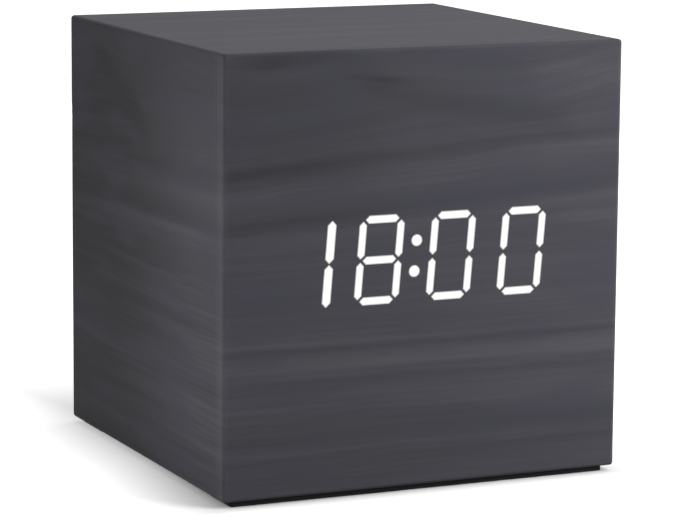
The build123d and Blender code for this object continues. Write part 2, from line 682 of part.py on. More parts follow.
# Rear cover: a plate with the battery bay moulded on its inner side
with BuildPart() as rear_cover:
    with BuildSketch(upright(COVER_FACE)):
        with Locations((0, MID)):
            RectangleRounded(COVER_WIDTH, COVER_HEIGHT, COVER_CORNER)
    extrude(amount=COVER_PLATE)
    fillet(rear_cover.faces().sort_by(Axis.Y)[-1].edges(), COVER_EDGE)
    with BuildSketch(upright(COVER_INNER)):
        with Locations((0, BAY_Z)):
            Rectangle(BAY_LENGTH_OUT, BAY_HEIGHT_OUT)
    extrude(amount=COVER_INNER - BAY_FLOOR + BAY_WALL)
    with BuildSketch(upright(COVER_FACE)):
        with Locations((0, BAY_Z)):
            Rectangle(BAY_LENGTH, BAY_HEIGHT)
    extrude(amount=COVER_FACE - BAY_FLOOR, mode=Mode.SUBTRACT)
    # pocket that the door lies in, on a ledge
    with BuildSketch(upright(COVER_FACE)):
        with Locations((0, BAY_Z)):
            RectangleRounded(POCKET_LENGTH, POCKET_HEIGHT, DOOR_CORNER)
    extrude(amount=COVER_FACE - DOOR_LEDGE_Y, mode=Mode.SUBTRACT)
    # finger scoop over the door's tongue
    with BuildSketch(upright(COVER_FACE)):
        with Locations((0, POCKET_TOP)):
            Ellipse(SCOOP_WIDTH / 2, SCOOP_HEIGHT)
    extrude(amount=COVER_FACE - DOOR_LEDGE_Y, mode=Mode.SUBTRACT)
    # notches in the bay's lower wall, for the door's hooks to swing in
    with BuildSketch(upright(DOOR_LEDGE_Y)):
        with Locations((0, POCKET_BOTTOM + DOOR_LEDGE / 2)):
            with GridLocations(2 * HOOK_OFFSET, 0, 2, 1):
                Rectangle(HOOK_WIDTH + 2 * HOOK_SIDE_GAP, DOOR_LEDGE)
    extrude(amount=DOOR_LEDGE_Y - HOOK_INNER + HOOK_SWING_GAP, mode=Mode.SUBTRACT)
    with BuildSketch(upright(COVER_INNER)):
        with Locations((0, BAY_Z - BAY_HEIGHT / 2 - BAY_WALL / 2)):
            with GridLocations(2 * HOOK_OFFSET, 0, 2, 1):
                Rectangle(HOOK_WIDTH + 2 * HOOK_SIDE_GAP, BAY_WALL)
    extrude(amount=COVER_INNER - HOOK_INNER + HOOK_SWING_GAP, mode=Mode.SUBTRACT)
    # cradle ribs that the cells lie in
    with BuildSketch(*[Plane.YZ.offset(side * CRADLE_OFFSET) for side in (-1, 1)]):
        with Locations((BAY_FLOOR, BAY_Z)):
            Rectangle(CRADLE_HEIGHT, BAY_HEIGHT, align=(Align.MIN, Align.CENTER))
        with Locations(*[(CELL_Y, row) for row in (BOTTOM_ROW, MIDDLE_ROW, TOP_ROW)]):
            Circle(CELL_DIAMETER / 2 + CRADLE_CLEARANCE, mode=Mode.SUBTRACT)
    extrude(amount=CRADLE_THICKNESS / 2, both=True)
    # slots in the bay's floor for the solder tabs
    with BuildSketch(upright(BAY_FLOOR)):
        with Locations((-SHEET_X, TOP_ROW), (SHEET_X, BOTTOM_ROW)):
            Rectangle(CONTACT_SHEET + 2 * TAB_GAP, TAB_WIDTH + 2 * TAB_GAP)
    extrude(amount=BAY_WALL, mode=Mode.SUBTRACT)
    # holes for the buttons, the power plug and the sound
    with BuildSketch(upright(COVER_FACE)):
        with Locations(*[(x, BUTTON_Z) for x in BUTTON_X]):
            Circle(BUTTON_DIAMETER / 2 + BUTTON_HOLE_GAP)
        with Locations((JACK_X, BUTTON_Z)):
            Circle(JACK_MOUTH / 2)
        with Locations((SOUND_HOLE_X, BUTTON_Z)):
            Circle(SOUND_HOLE / 2)
            with PolarLocations(SOUND_HOLE_RING, 6):
                Circle(SOUND_HOLE / 2)
    extrude(amount=COVER_PLATE, mode=Mode.SUBTRACT)
    cover_rims = rear_cover.edges().filter_by(GeomType.CIRCLE).filter_by_position(
        Axis.Y, COVER_FACE - 0.01, COVER_FACE + 0.01
    )
    chamfer([rim for rim in cover_rims if rim.radius > BUTTON_DIAMETER / 2], MOUTH_CHAMFER)
    # counterbored holes for the cover's screws
    with BuildSketch(upright(COVER_FACE)):
        with Locations(*BLOCKS):
            Circle(SCREW_SHANK / 2 + THROUGH_PLAY)
    extrude(amount=COVER_PLATE, mode=Mode.SUBTRACT)
    with BuildSketch(upright(COVER_FACE)):
        with Locations(*BLOCKS):
            Circle(SCREW_HEAD / 2 + HEAD_PLAY)
    extrude(amount=COVER_FACE - COVER_SCREW_SEAT, mode=Mode.SUBTRACT)
    # bosses for the button board
    with BuildSketch(upright(COVER_INNER)):
        with Locations(*BOSSES):
            Circle(BOSS_DIAMETER / 2)
    extrude(amount=COVER_INNER - BUTTON_BOARD_FACE)
    with BuildSketch(upright(BUTTON_BOARD_FACE)):
        with Locations(*BOSSES):
            Circle(SMALL_SCREW_SHANK / 2 + THREAD_PLAY)
    extrude(amount=-(SMALL_SCREW_GRIP + PILOT_EXTRA), mode=Mode.SUBTRACT)
save(rear_cover, "rear_cover")

# Screws that hold the cover to the corner blocks
save_screws(
    "cover_screws",
    BLOCKS,
    COVER_SCREW_SEAT,
    COVER_SCREW_SEAT - COVER_INNER + COVER_SCREW_GRIP,
    SCREW_SHANK,
    SCREW_HEAD,
    1,
)

# Battery door: hooks along its lower edge, a sprung tongue at its upper edge
with BuildPart() as battery_door:
    with BuildSketch(upright(COVER_FACE)):
        with Locations((0, BAY_Z)):
            RectangleRounded(DOOR_LENGTH, DOOR_HEIGHT, DOOR_CORNER - DOOR_GAP)
    extrude(amount=DOOR_THICKNESS)
    fillet(battery_door.faces().sort_by(Axis.Y)[-1].edges(), DOOR_EDGE)
    with BuildSketch(upright(COVER_FACE)):
        with Locations((0, TONGUE_Z)):
            with GridLocations(TONGUE_WIDTH + TONGUE_SLIT, 0, 2, 1):
                Rectangle(TONGUE_SLIT, TONGUE_LENGTH)
    extrude(amount=DOOR_THICKNESS, mode=Mode.SUBTRACT)
    with BuildSketch(upright(COVER_FACE)):
        with Locations((0, TONGUE_Z)):
            with GridLocations(0, RIDGE_PITCH, 1, RIDGE_COUNT):
                SlotOverall(RIDGE_LENGTH, RIDGE_WIDTH)
    extrude(amount=-RIDGE_HEIGHT)
    with BuildSketch(*[Plane.YZ.offset(side * HOOK_OFFSET) for side in (-1, 1)]):
        Polygon(
            (DOOR_INNER, POCKET_BOTTOM + HOOK_RISE),
            (HOOK_FACE, POCKET_BOTTOM + HOOK_RISE),
            (HOOK_FACE, POCKET_BOTTOM - HOOK_REACH),
            (HOOK_INNER, POCKET_BOTTOM - HOOK_REACH),
            (HOOK_INNER, POCKET_BOTTOM + HOOK_RISE + HOOK_THICKNESS),
            (DOOR_INNER, POCKET_BOTTOM + HOOK_RISE + HOOK_THICKNESS),
            align=None,
        )
    extrude(amount=HOOK_WIDTH / 2, both=True)
save(battery_door, "battery_door")


def save_cell(name, row, facing):
    """A battery cell at the height of its row, its nub towards facing along X."""
    nub_end = facing * (BAY_LENGTH / 2 - CONTACT_SHEET - CELL_END_PLAY)
    shoulder = nub_end - facing * CELL_NUB_LENGTH
    with BuildPart() as cell:
        with BuildSketch(Plane.YZ.offset(shoulder)):
            with Locations((CELL_Y, row)):
                Circle(CELL_DIAMETER / 2)
        extrude(amount=-facing * (CELL_LENGTH - CELL_NUB_LENGTH))
        fillet(cell.edges().filter_by(GeomType.CIRCLE), CELL_EDGE)
        with BuildSketch(Plane.YZ.offset(shoulder)):
            with Locations((CELL_Y, row)):
                Circle(CELL_NUB_DIAMETER / 2)
        extrude(amount=facing * CELL_NUB_LENGTH)
    save(cell, name)


def save_contact(name, side, low, high, spring=None, tab=None):
    """A stamped contact on one end wall, from its lower row of cells to its higher one."""
    wall_x = side * BAY_LENGTH / 2
    leaf_foot = wall_x - side * CONTACT_SHEET / 2
    leaf_crown = wall_x - side * (SPRING_ROOM + CONTACT_SHEET / 2 - LEAF_GAP)
    leaf_end = wall_x - side * (CONTACT_SHEET * 3 / 2 + LEAF_FREE)
    with BuildPart() as contact:
        with BuildSketch(Plane.YZ.offset(wall_x)):
            with Locations((CELL_Y, (low + high) / 2)):
                Rectangle(CONTACT_DEPTH, high - low + CONTACT_WIDTH)
            if tab is not None:
                with Locations((CELL_Y, tab)):
                    Rectangle(CELL_Y - TAB_END, TAB_WIDTH, align=(Align.MAX, Align.CENTER))
        extrude(amount=-side * CONTACT_SHEET)
        if spring is not None:
            with BuildSketch(Plane.XY.offset(spring)):
                with BuildLine():
                    ThreePointArc(
                        (leaf_foot, CELL_Y - LEAF_SPAN / 2),
                        (leaf_crown, CELL_Y),
                        (leaf_end, CELL_Y + LEAF_SPAN / 2),
                    )
                trace(line_width=CONTACT_SHEET)
            extrude(amount=LEAF_WIDTH / 2, both=True)
    save(contact, name)


# Three cells in series, from the top row's flat end to the bottom row's nub
save_cell("bottom_cell", BOTTOM_ROW, 1)
save_cell("middle_cell", MIDDLE_ROW, -1)
save_cell("top_cell", TOP_ROW, 1)
save_contact("negative_terminal", -1, TOP_ROW, TOP_ROW, spring=TOP_ROW, tab=TOP_ROW)
save_contact("right_bridge", 1, MIDDLE_ROW, TOP_ROW, spring=MIDDLE_ROW)
save_contact("left_bridge", -1, BOTTOM_ROW, MIDDLE_ROW, spring=BOTTOM_ROW)
save_contact("positive_terminal", 1, BOTTOM_ROW, BOTTOM_ROW, tab=BOTTOM_ROW)

# Button board on the cover's bosses, and its two screws
with BuildPart() as button_board:
    with BuildSketch(upright(BUTTON_BOARD_FACE)):
        with Locations((0, BUTTON_BOARD_Z)):
            RectangleRounded(BUTTON_BOARD_WIDTH, BUTTON_BOARD_HEIGHT, COVER_CORNER)
        with Locations(*BOSSES):
            Circle(SMALL_SCREW_SHANK / 2 + THROUGH_PLAY, mode=Mode.SUBTRACT)
    extrude(amount=PCB)
save(button_board, "button_board")
save_screws(
    "button_board_screws",
    BOSSES,
    BUTTON_BOARD_INNER,
    PCB + SMALL_SCREW_GRIP,
    SMALL_SCREW_SHANK,
    SMALL_SCREW_HEAD,
    -1,
)

# Bodies of the three push switches, each with a well for its plunger
with BuildPart() as switch_bodies:
    with BuildSketch(upright(SWITCH_TOP)):
        with Locations(*[(x, BUTTON_Z) for x in BUTTON_X]):
            Rectangle(SWITCH_SIZE, SWITCH_SIZE)
    extrude(amount=SWITCH_HEIGHT)
    with BuildSketch(upright(SWITCH_TOP)):
        with Locations(*[(x, BUTTON_Z) for x in BUTTON_X]):
            Circle(PLUNGER_DIAMETER / 2 + PLUNGER_GAP)
    extrude(amount=SWITCH_WELL, mode=Mode.SUBTRACT)
save(switch_bodies, "switch_bodies")

# Push buttons and the switch plungers under them
for button_name, button_x in zip(("set", "up", "down"), BUTTON_X):
    with BuildPart() as button:
        with BuildSketch(upright(FLANGE_FACE)):
            with Locations((button_x, BUTTON_Z)):
                Circle(BUTTON_DIAMETER / 2)
        extrude(amount=-(COVER_FACE + BUTTON_PROUD - FLANGE_FACE))
        fillet(button.edges().group_by(Axis.Y)[-1], BUTTON_EDGE)
        with BuildSketch(upright(FLANGE_FACE)):
            with Locations((button_x, BUTTON_Z)):
                Circle(BUTTON_FLANGE / 2)
        extrude(amount=BUTTON_FLANGE_HEIGHT)
        with BuildSketch(upright(FLANGE_FACE)):
            with Locations((button_x, BUTTON_Z)):
                Circle(BUTTON_STEM / 2)
        extrude(amount=FLANGE_FACE - PLUNGER_TOP)
    save(button, f"{button_name}_button")
    with BuildPart() as plunger:
        with BuildSketch(upright(PLUNGER_TOP)):
            with Locations((button_x, BUTTON_Z)):
                Circle(PLUNGER_DIAMETER / 2)
        extrude(amount=PLUNGER_LENGTH)
    save(plunger, f"{button_name}_plunger")

# Socket for the power plug, and the pin in it
with BuildPart() as power_jack:
    with BuildSketch(upright(JACK_FACE)):
        with Locations((JACK_X, BUTTON_Z)):
            Rectangle(JACK_SIZE, JACK_SIZE)
    extrude(amount=JACK_FACE - BUTTON_BOARD_FACE)
    with BuildSketch(upright(JACK_FACE)):
        with Locations((JACK_X, BUTTON_Z)):
            Circle(JACK_BORE / 2)
    extrude(amount=JACK_FACE - JACK_BORE_FLOOR, mode=Mode.SUBTRACT)
    with BuildSketch(upright(JACK_BORE_FLOOR)):
        with Locations((JACK_X, BUTTON_Z)):
            Circle(JACK_PIN_ROOT_DIAMETER / 2 + THREAD_PLAY)
    extrude(amount=JACK_PIN_ROOT, mode=Mode.SUBTRACT)
save(power_jack, "power_jack")
with BuildPart() as jack_pin:
    with BuildSketch(upright(JACK_BORE_FLOOR)):
        with Locations((JACK_X, BUTTON_Z)):
            Circle(JACK_PIN_DIAMETER / 2)
    extrude(amount=-JACK_PIN_LENGTH)
    chamfer(jack_pin.edges().group_by(Axis.Y)[-1], JACK_PIN_DIAMETER / 6)
    with BuildSketch(upright(JACK_BORE_FLOOR)):
        with Locations((JACK_X, BUTTON_Z)):
            Circle(JACK_PIN_ROOT_DIAMETER / 2)
    extrude(amount=JACK_PIN_ROOT)
save(jack_pin, "jack_pin")

# Ribbon from the main board to the button board, hanging in between
with BuildPart() as button_ribbon:
    ribbon_x, ribbon_z = on_board(BUTTON_CONNECTOR_AT)
    with BuildSketch(Plane.YZ.offset(ribbon_x)):
        with BuildLine():
            FilletPolyline(
                (CONNECTOR_TOP, ribbon_z),
                (CONNECTOR_TOP + LEAD_RUN, ribbon_z),
                ((CONNECTOR_TOP + BUTTON_BOARD_INNER) / 2, ribbon_z - RIBBON_SAG),
                (BUTTON_BOARD_INNER - LEAD_RUN, BUTTON_Z),
                (BUTTON_BOARD_INNER, BUTTON_Z),
                radius=LEAD_BEND,
            )
        trace(line_width=RIBBON_THICKNESS)
    extrude(amount=RIBBON_WIRES * RIBBON_THICKNESS / 2, both=True)
save(button_ribbon, "button_ribbon")


def save_lead(name, wire_side, contact_side, row):
    """A battery lead from its connector to the tab of one end contact."""
    plug_x, plug_z = on_board(BATTERY_CONNECTOR_AT)
    start = Vector(plug_x + wire_side * LEAD_PITCH / 2, CONNECTOR_TOP, plug_z)
    end = Vector(contact_side * SHEET_X, TAB_END, row)
    leaving = start + Vector(0, LEAD_RUN, 0)
    arriving = end - Vector(0, LEAD_RUN, 0)
    hanging = (leaving + arriving) / 2 - Vector(0, 0, LEAD_SAG)
    with BuildPart() as lead:
        with BuildLine() as route:
            FilletPolyline(start, leaving, hanging, arriving, end, radius=LEAD_BEND)
        with BuildSketch(Plane(start, x_dir=(1, 0, 0), z_dir=(0, 1, 0))):
            Circle(LEAD_DIAMETER / 2)
        sweep(path=route.wire())
    save(lead, name)


# Battery leads
save_lead("red_lead", 1, 1, BOTTOM_ROW)
save_lead("black_lead", -1, -1, TOP_ROW)
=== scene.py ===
"""Looks of a cube-shaped LED desk clock in wood-grain film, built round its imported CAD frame."""

import math

import bpy
from bpy.props import FloatProperty, FloatVectorProperty, IntProperty, PointerProperty
from mathutils import Matrix, Vector


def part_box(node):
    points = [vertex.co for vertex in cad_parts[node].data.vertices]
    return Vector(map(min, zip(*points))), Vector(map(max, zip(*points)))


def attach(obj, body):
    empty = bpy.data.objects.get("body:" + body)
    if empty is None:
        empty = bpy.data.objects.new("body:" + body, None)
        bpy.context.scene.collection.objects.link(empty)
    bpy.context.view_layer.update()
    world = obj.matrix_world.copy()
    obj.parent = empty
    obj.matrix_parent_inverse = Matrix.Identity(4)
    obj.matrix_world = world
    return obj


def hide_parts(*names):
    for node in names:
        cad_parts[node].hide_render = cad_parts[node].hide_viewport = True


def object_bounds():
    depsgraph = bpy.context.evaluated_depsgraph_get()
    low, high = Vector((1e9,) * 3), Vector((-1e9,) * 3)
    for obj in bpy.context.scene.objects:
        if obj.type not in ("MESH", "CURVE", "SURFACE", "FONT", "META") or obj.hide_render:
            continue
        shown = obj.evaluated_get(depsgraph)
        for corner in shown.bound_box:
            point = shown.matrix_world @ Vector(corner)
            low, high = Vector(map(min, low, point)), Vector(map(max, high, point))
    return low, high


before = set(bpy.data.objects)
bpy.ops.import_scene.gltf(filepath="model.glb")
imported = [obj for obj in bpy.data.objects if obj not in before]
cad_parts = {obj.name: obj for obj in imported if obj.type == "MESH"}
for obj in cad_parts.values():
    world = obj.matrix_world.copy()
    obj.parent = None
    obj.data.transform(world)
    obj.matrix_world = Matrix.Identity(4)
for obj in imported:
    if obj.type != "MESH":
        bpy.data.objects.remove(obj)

CAD_BOX = [list(corner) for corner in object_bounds()]
MM = 0.001
FILM_LOW, FILM_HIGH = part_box("wood_film")

bl_info = {
    "name": "Desk clock looks",
    "version": (1, 0, 0),
    "blender": (4, 5, 0),
    "location": "3D View > Sidebar > Desk clock",
    "description": "Finishes, screws, wires and stage of a wood-grain LED desk clock",
    "category": "Object",
}


# Properties

def colour(name, description, default):
    """A colour that a user may change, in linear values."""
    return FloatVectorProperty(
        name=name, description=description, subtype="COLOR", size=3, min=0.0, max=1.0, default=default
    )


def size(name, description, millimetres):
    """A length that a user may change."""
    return FloatProperty(
        name=name,
        description=description,
        subtype="DISTANCE",
        unit="LENGTH",
        min=0.0,
        precision=5,
        default=millimetres * MM,
    )


def angle(name, description, degrees):
    """An angle that a user may change."""
    return FloatProperty(
        name=name, description=description, subtype="ANGLE", unit="ROTATION", default=math.radians(degrees)
    )


def power(name, description, watts):
    """A lamp's power."""
    return FloatProperty(
        name=name, description=description, subtype="POWER", unit="POWER", min=0.0, default=watts
    )


class ClockColours(bpy.types.PropertyGroup):
    """Colours of the clock's finishes."""

    film_dark: colour("Film, dark layers", "Darkest streaks of the wood print", (0.036, 0.036, 0.042))
    film_mid: colour("Film, ground", "Most of the wood print", (0.058, 0.057, 0.068))
    film_light: colour("Film, light layers", "Palest streaks of the wood print", (0.084, 0.083, 0.094))
    film_cool: colour("Film, cool patches", "Bluish patches of the wood print", (0.049, 0.048, 0.067))
    glow: colour("Lit bars", "Light of the display", (1.0, 1.0, 1.0))
    cover: colour("Rear cover", "Moulded cover and battery door", (0.018, 0.018, 0.019))
    button: colour("Buttons", "Push buttons", (0.035, 0.035, 0.037))
    # Near-black of the foot strips: partly their rubber, partly painted shade for the dark line under the
    # front edge
    rubber: colour("Foot strips", "Rubber of the foot strips", (0.012, 0.012, 0.012))
    fibreboard: colour("Fibreboard", "Boards and corner blocks", (0.30, 0.20, 0.12))
    housing: colour("Display housing", "White mouldings", (0.75, 0.75, 0.72))
    mask: colour("Circuit boards", "Solder mask", (0.012, 0.085, 0.036))
    cell_sleeve: colour("Cells", "Sleeve of the cells", (0.030, 0.055, 0.085))
    red_wire: colour("Red lead", "Insulation of the red lead", (0.45, 0.02, 0.02))
    black_wire: colour("Black lead", "Insulation of the black lead", (0.015, 0.015, 0.015))
    ribbon: colour("Ribbon", "Insulation of the ribbon's wires", (0.35, 0.35, 0.36))


class ClockSizes(bpy.types.PropertyGroup):
    """Sizes of the pieces that this file models."""

    glow_edge: size("Glow's edge", "Width over which a lit bar fades at its edge", 0.24)
    screw_head: size("Screw head", "Diameter of the cover and board screws' heads", 3.6)
    screw_shank: size("Screw shank", "Outer diameter of the cover and board screws' threads", 2.2)
    small_head: size("Small screw head", "Diameter of the button board screws' heads", 3.2)
    small_shank: size("Small screw shank", "Outer diameter of the button board screws' threads", 1.7)
    head_height: size("Head height", "Height of every screw head", 1.1)
    thread_pitch: size("Thread pitch", "Advance of one turn of thread", 0.8)
    recess_width: size("Recess width", "Width of one arm of the cross recess", 0.5)
    recess_depth: size("Recess depth", "Depth of the cross recess", 0.7)
    lead_diameter: size("Lead diameter", "Diameter of the battery leads", 1.2)
    ribbon_pitch: size("Ribbon pitch", "Diameter and spacing of the ribbon's wires", 1.0)
    ribbon_wires: IntProperty(name="Ribbon wires", description="Wires in the ribbon", default=5, min=1)


class ClockStage(bpy.types.PropertyGroup):
    """Camera and light."""

    aim: FloatVectorProperty(
        name="Aim",
        description="Point that the camera looks at",
        subtype="TRANSLATION",
        unit="LENGTH",
        size=3,
        default=(0.00062, 0.0, 0.02724),
    )
    azimuth: angle("Azimuth", "Camera's turn round the clock from straight in front", -24.39)
    elevation: angle("Elevation", "Camera's height above the horizon", 9.64)
    roll: angle("Roll", "Camera's turn about its own axis", 0.44)
    distance: size("Distance", "From the camera to its aim", 470.8)
    focal_length: FloatProperty(
        name="Focal length",
        description="Lens, on a 36 mm wide sensor",
        subtype="DISTANCE_CAMERA",
        unit="CAMERA",
        default=171.22,
    )
    overhead: power("Overhead lamp", "Soft box above the clock", 2.85)
    right_lamp: power("Right lamp", "Soft box at the front right", 0.45)
    left_lamp: power("Left lamp", "Small soft box at the left", 0.024)
    rear_lamp: power("Rear lamp", "Low soft box behind the clock", 0.40)
    # Distances between which the ground's light rises again, round a painted shadow near the clock
    shadow_inner: size("Shadow, inner", "Distance from the middle where the ground starts to pale", 18.5)
    shadow_outer: size("Shadow, outer", "Distance from the middle where the shadow ends", 43.0)
    world_light: FloatProperty(
        name="World light", description="Level of the even light from all round", default=0.15, min=0.0
    )


# Helpers for finishes

class Finish:
    """One procedural material, with short calls for the nodes that the finishes share."""

    def __init__(self, name, roughness=0.5, metallic=0.0, specular=0.5):
        self.material = bpy.data.materials.new(name)
        self.material.use_nodes = True
        self.nodes = self.material.node_tree.nodes
        self.links = self.material.node_tree.links
        self.shader = self.nodes["Principled BSDF"]
        self.shader.inputs["Roughness"].default_value = roughness
        self.shader.inputs["Metallic"].default_value = metallic
        self.shader.inputs["Specular IOR Level"].default_value = specular
        place = self.nodes.new("ShaderNodeTexCoord").outputs["Object"]
        scale = (1 / MM, 1 / MM, 1 / MM)
        self.place = self.node("ShaderNodeMapping", {"Vector": place, "Scale": scale}).outputs[0]

    def node(self, kind, inputs, **settings):
        """Adds a node, and sets or links its inputs."""
        made = self.nodes.new(kind)
        for key, value in settings.items():
            setattr(made, key, value)
        for key, value in inputs.items():
            self.feed(made.inputs[key], value)
        return made

    def feed(self, socket, value):
        """Links a socket to another's output, or sets it."""
        if isinstance(value, bpy.types.NodeSocket):
            self.links.new(value, socket)
        else:
            socket.default_value = value

    def math(self, operation, *values, clamp=False):
        """One sum on numbers."""
        made = self.node("ShaderNodeMath", dict(enumerate(values)), operation=operation, use_clamp=clamp)
        return made.outputs[0]

    def axes(self):
        """The three coordinates of a point of the clock, in millimetres."""
        return self.node("ShaderNodeSeparateXYZ", {0: self.place}).outputs

    def point(self, across, along=0.0, depth=0.0):
        """A point from three numbers."""
        return self.node("ShaderNodeCombineXYZ", {0: across, 1: along, 2: depth}).outputs[0]

    def noise(self, vector, stretch, detail=2.0, roughness=0.5, shift=0.0):
        """Noise whose features per millimetre differ along the three directions."""
        mapped = self.node(
            "ShaderNodeMapping", {"Vector": vector, "Scale": stretch, "Location": (shift, shift, shift)}
        )
        made = self.node(
            "ShaderNodeTexNoise",
            {"Vector": mapped.outputs[0], "Scale": 1.0, "Detail": detail, "Roughness": roughness},
        )
        return made.outputs[0]

    def fade(self, value, start, end, low=0.0, high=1.0):
        """Goes smoothly from low to high as value goes from start to end."""
        made = self.node(
            "ShaderNodeMapRange",
            {"Value": value, "From Min": start, "From Max": end, "To Min": low, "To Max": high},
            interpolation_type="SMOOTHSTEP",
        )
        return made.outputs[0]

    def ramp(self, value, stops):
        """Colours along a value, as position and colour."""
        made = self.node("ShaderNodeValToRGB", {0: value})
        elements = made.color_ramp.elements
        for index, (position, shade) in enumerate(stops):
            element = elements[index] if index < 2 else elements.new(position)
            element.position = position
            element.color = (*shade, 1.0)
        return made.outputs[0]

    def mix(self, share, first, second, blend="MIX"):
        """Two colours mixed."""
        first = first if isinstance(first, bpy.types.NodeSocket) else (*first, 1.0)
        second = second if isinstance(second, bpy.types.NodeSocket) else (*second, 1.0)
        made = self.node(
            "ShaderNodeMix", {0: share, 6: first, 7: second}, data_type="RGBA", blend_type=blend
        )
        return made.outputs[2]

    def paint(self, shade):
        """The finish's colour."""
        value = (*shade, 1.0) if isinstance(shade, tuple) else shade
        self.feed(self.shader.inputs["Base Color"], value)

    def relief(self, height, millimetres, strength=1.0):
        """Small relief from a height between 0 and 1."""
        bump = self.node(
            "ShaderNodeBump", {"Height": height, "Distance": millimetres * MM, "Strength": strength}
        )
        self.links.new(bump.outputs[0], self.shader.inputs["Normal"])

    def roughen(self, value, low, high):
        """Roughness that follows a value."""
        made = self.node("ShaderNodeMapRange", {"Value": value, "To Min": low, "To Max": high})
        self.links.new(made.outputs[0], self.shader.inputs["Roughness"])


def shade_of(base, factor):
    """A colour made paler or darker."""
    return tuple(min(1.0, part * factor) for part in base)


def moulded(name, base, texture=0.15, relief=0.012, rough=(0.48, 0.62), specular=0.4):
    """Moulded plastic with the fine texture of its mould."""
    finish = Finish(name, specular=specular)
    grain = finish.noise(finish.place, (1 / texture,) * 3, 2.0, 0.6)
    cloud = finish.noise(finish.place, (0.12, 0.12, 0.12), 2.0)
    mottled = finish.math("ADD", finish.math("MULTIPLY", grain, 0.5), finish.math("MULTIPLY", cloud, 0.5))
    finish.paint(finish.ramp(mottled, [(0.3, shade_of(base, 0.82)), (0.7, shade_of(base, 1.2))]))
    finish.roughen(mottled, *rough)
    finish.relief(grain, relief)
    return finish


def metal(name, base, rough=(0.2, 0.36), stretch=(4.0, 0.6, 4.0), relief=0.002):
    """Plated or drawn metal with faint drawing marks."""
    finish = Finish(name, metallic=1.0)
    marks = finish.noise(finish.place, stretch, 3.0, 0.6)
    finish.paint(finish.ramp(marks, [(0.3, shade_of(base, 0.86)), (0.7, shade_of(base, 1.1))]))
    finish.roughen(marks, *rough)
    finish.relief(marks, relief)
    return finish


def dress(node_name, finish):
    """Gives a CAD node its finish."""
    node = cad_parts[node_name]
    node.data.materials.clear()
    node.data.materials.append(finish.material)


# Helpers for modelling

def start_clean():
    """Leaves edit mode and selects nothing."""
    if bpy.context.object is not None and bpy.context.object.mode != "OBJECT":
        bpy.ops.object.mode_set(mode="OBJECT")
    bpy.ops.object.select_all(action="DESELECT")


def settle(piece, name, finish, body, slot, *nodes):
    """Names a finished piece, puts its place in its mesh, and ties it to the frame."""
    start_clean()
    piece.select_set(True)
    bpy.context.view_layer.objects.active = piece
    bpy.ops.object.transform_apply(location=True, rotation=True, scale=True)
    bpy.ops.object.shade_smooth_by_angle(angle=math.radians(35))
    piece.name = name
    piece.data.name = name
    piece.data.materials.clear()
    piece.data.materials.append(finish.material)
    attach(piece, body)
    if nodes:
        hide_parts(*nodes)
    return piece


def apply_all(piece):
    """Applies every modifier of a piece."""
    bpy.context.view_layer.objects.active = piece
    for modifier in list(piece.modifiers):
        bpy.ops.object.modifier_apply(modifier=modifier.name)


# Finishes of the box

# Distances from the lid and the base, in millimetres, between which the print turns over the film's edge
FILM_TURN_START = 0.4
FILM_TURN_END = 0.05

# Slopes of the layers above the middle, on the front and on the left side
FILM_FRONT_SLOPE = 0.07
FILM_LEFT_SLOPE = 0.04

# The flame's swing: length of a wave in millimetres, its phase and its reach
FLAME_LENGTH = 37
FLAME_PHASE = -0.85
FLAME_REACH = -1.2

# Painted highlight: how much paler the print is over the upright edges of the front
FILM_EDGE_HIGHLIGHT = 0.24

# Level layers of the print: height above the film's lower edge in millimetres, and how much paler or darker
FILM_LAYERS = (
    (0.0, 0.0),
    (3.8, 0.0),
    (4.9, -0.09),
    (5.9, -0.02),
    (7.2, -0.07),
    (8.6, -0.12),
    (10.4, -0.05),
    (12.3, 0.05),
    (15.5, 0.0),
    (17.0, 0.02),
    (18.2, 0.13),
    (19.4, 0.03),
    (20.05, -0.09),
    (20.6, 0.0),
    (21.0, 0.06),
    (21.6, 0.0),
    (26.0, -0.03),
    (30.0, -0.05),
    (34.0, 0.0),
    (37.0, 0.09),
    (37.9, 0.0),
    (39.2, -0.11),
    (41.2, -0.03),
    (43.5, 0.11),
    (45.2, 0.0),
    (46.6, -0.10),
    (48.0, 0.0),
    (54.0, -0.04),
    (61.0, 0.0),
)

# Single streaks of the print: from and to, as places round the box and up it, then half width and tone,
# and for the broad rows, which are painted shade, the lengths over which they come and go
FILM_STREAKS_AND_SHADES = (
    (-26, 59.3, -9, 59.9, 2.0, -0.14),
    (-30, 44.4, -15, 45.2, 1.3, -0.07),
    (-12, 57.2, -4, 56.3, 0.7, -0.15),
    (-10, 56.0, 22, 49.6, 3.2, -0.12),
    (16, 57.0, 40, 53.5, 5.0, 0.09),
    (21, 36.4, 34, 35.8, 2.0, 0.09),
    # Painted shade: darker over the upper left of the front
    (-30, 48.0, -8, 50.0, 24.0, -0.12, 1.0, 16.0),
    (-30, 52.0, 16, 52.0, 18.0, -0.06, 1.0, 12.0),
    # Painted shade: darker towards the back of the left side
    (-130, 32.0, -57, 32.0, 90.0, -0.46, 1.0, 40.0),
    (-92, 33.6, -34, 35.5, 1.1, 0.12),
    (-92, 42.6, -64, 45.0, 0.9, -0.10),
    (-80, 56.0, -58, 47.0, 4.5, -0.12),
    (-92, 52.0, -72, 52.0, 7.0, -0.08),
    (-45, 54.6, -37, 55.0, 0.7, -0.10),
    (-64, 22.2, -40, 22.5, 1.0, -0.10),
    (-74, 20.4, -44, 19.4, 2.0, -0.09),
    (-82, 17.0, -60, 16.2, 0.9, -0.11),
    (-92, 15.4, -58, 13.3, 1.2, 0.13),
    (-52, 12.9, -32, 11.9, 2.4, 0.10),
    (44, 27.2, 90, 26.0, 1.4, 0.09),
    (52, 52.5, 84, 46.5, 3.0, -0.10),
    (-30, 74.0, 12, 76.5, 2.4, -0.08),
    (-16, 88.0, 30, 90.0, 1.6, 0.08),
    (-30, 104.0, 24, 101.5, 2.6, -0.08),
)


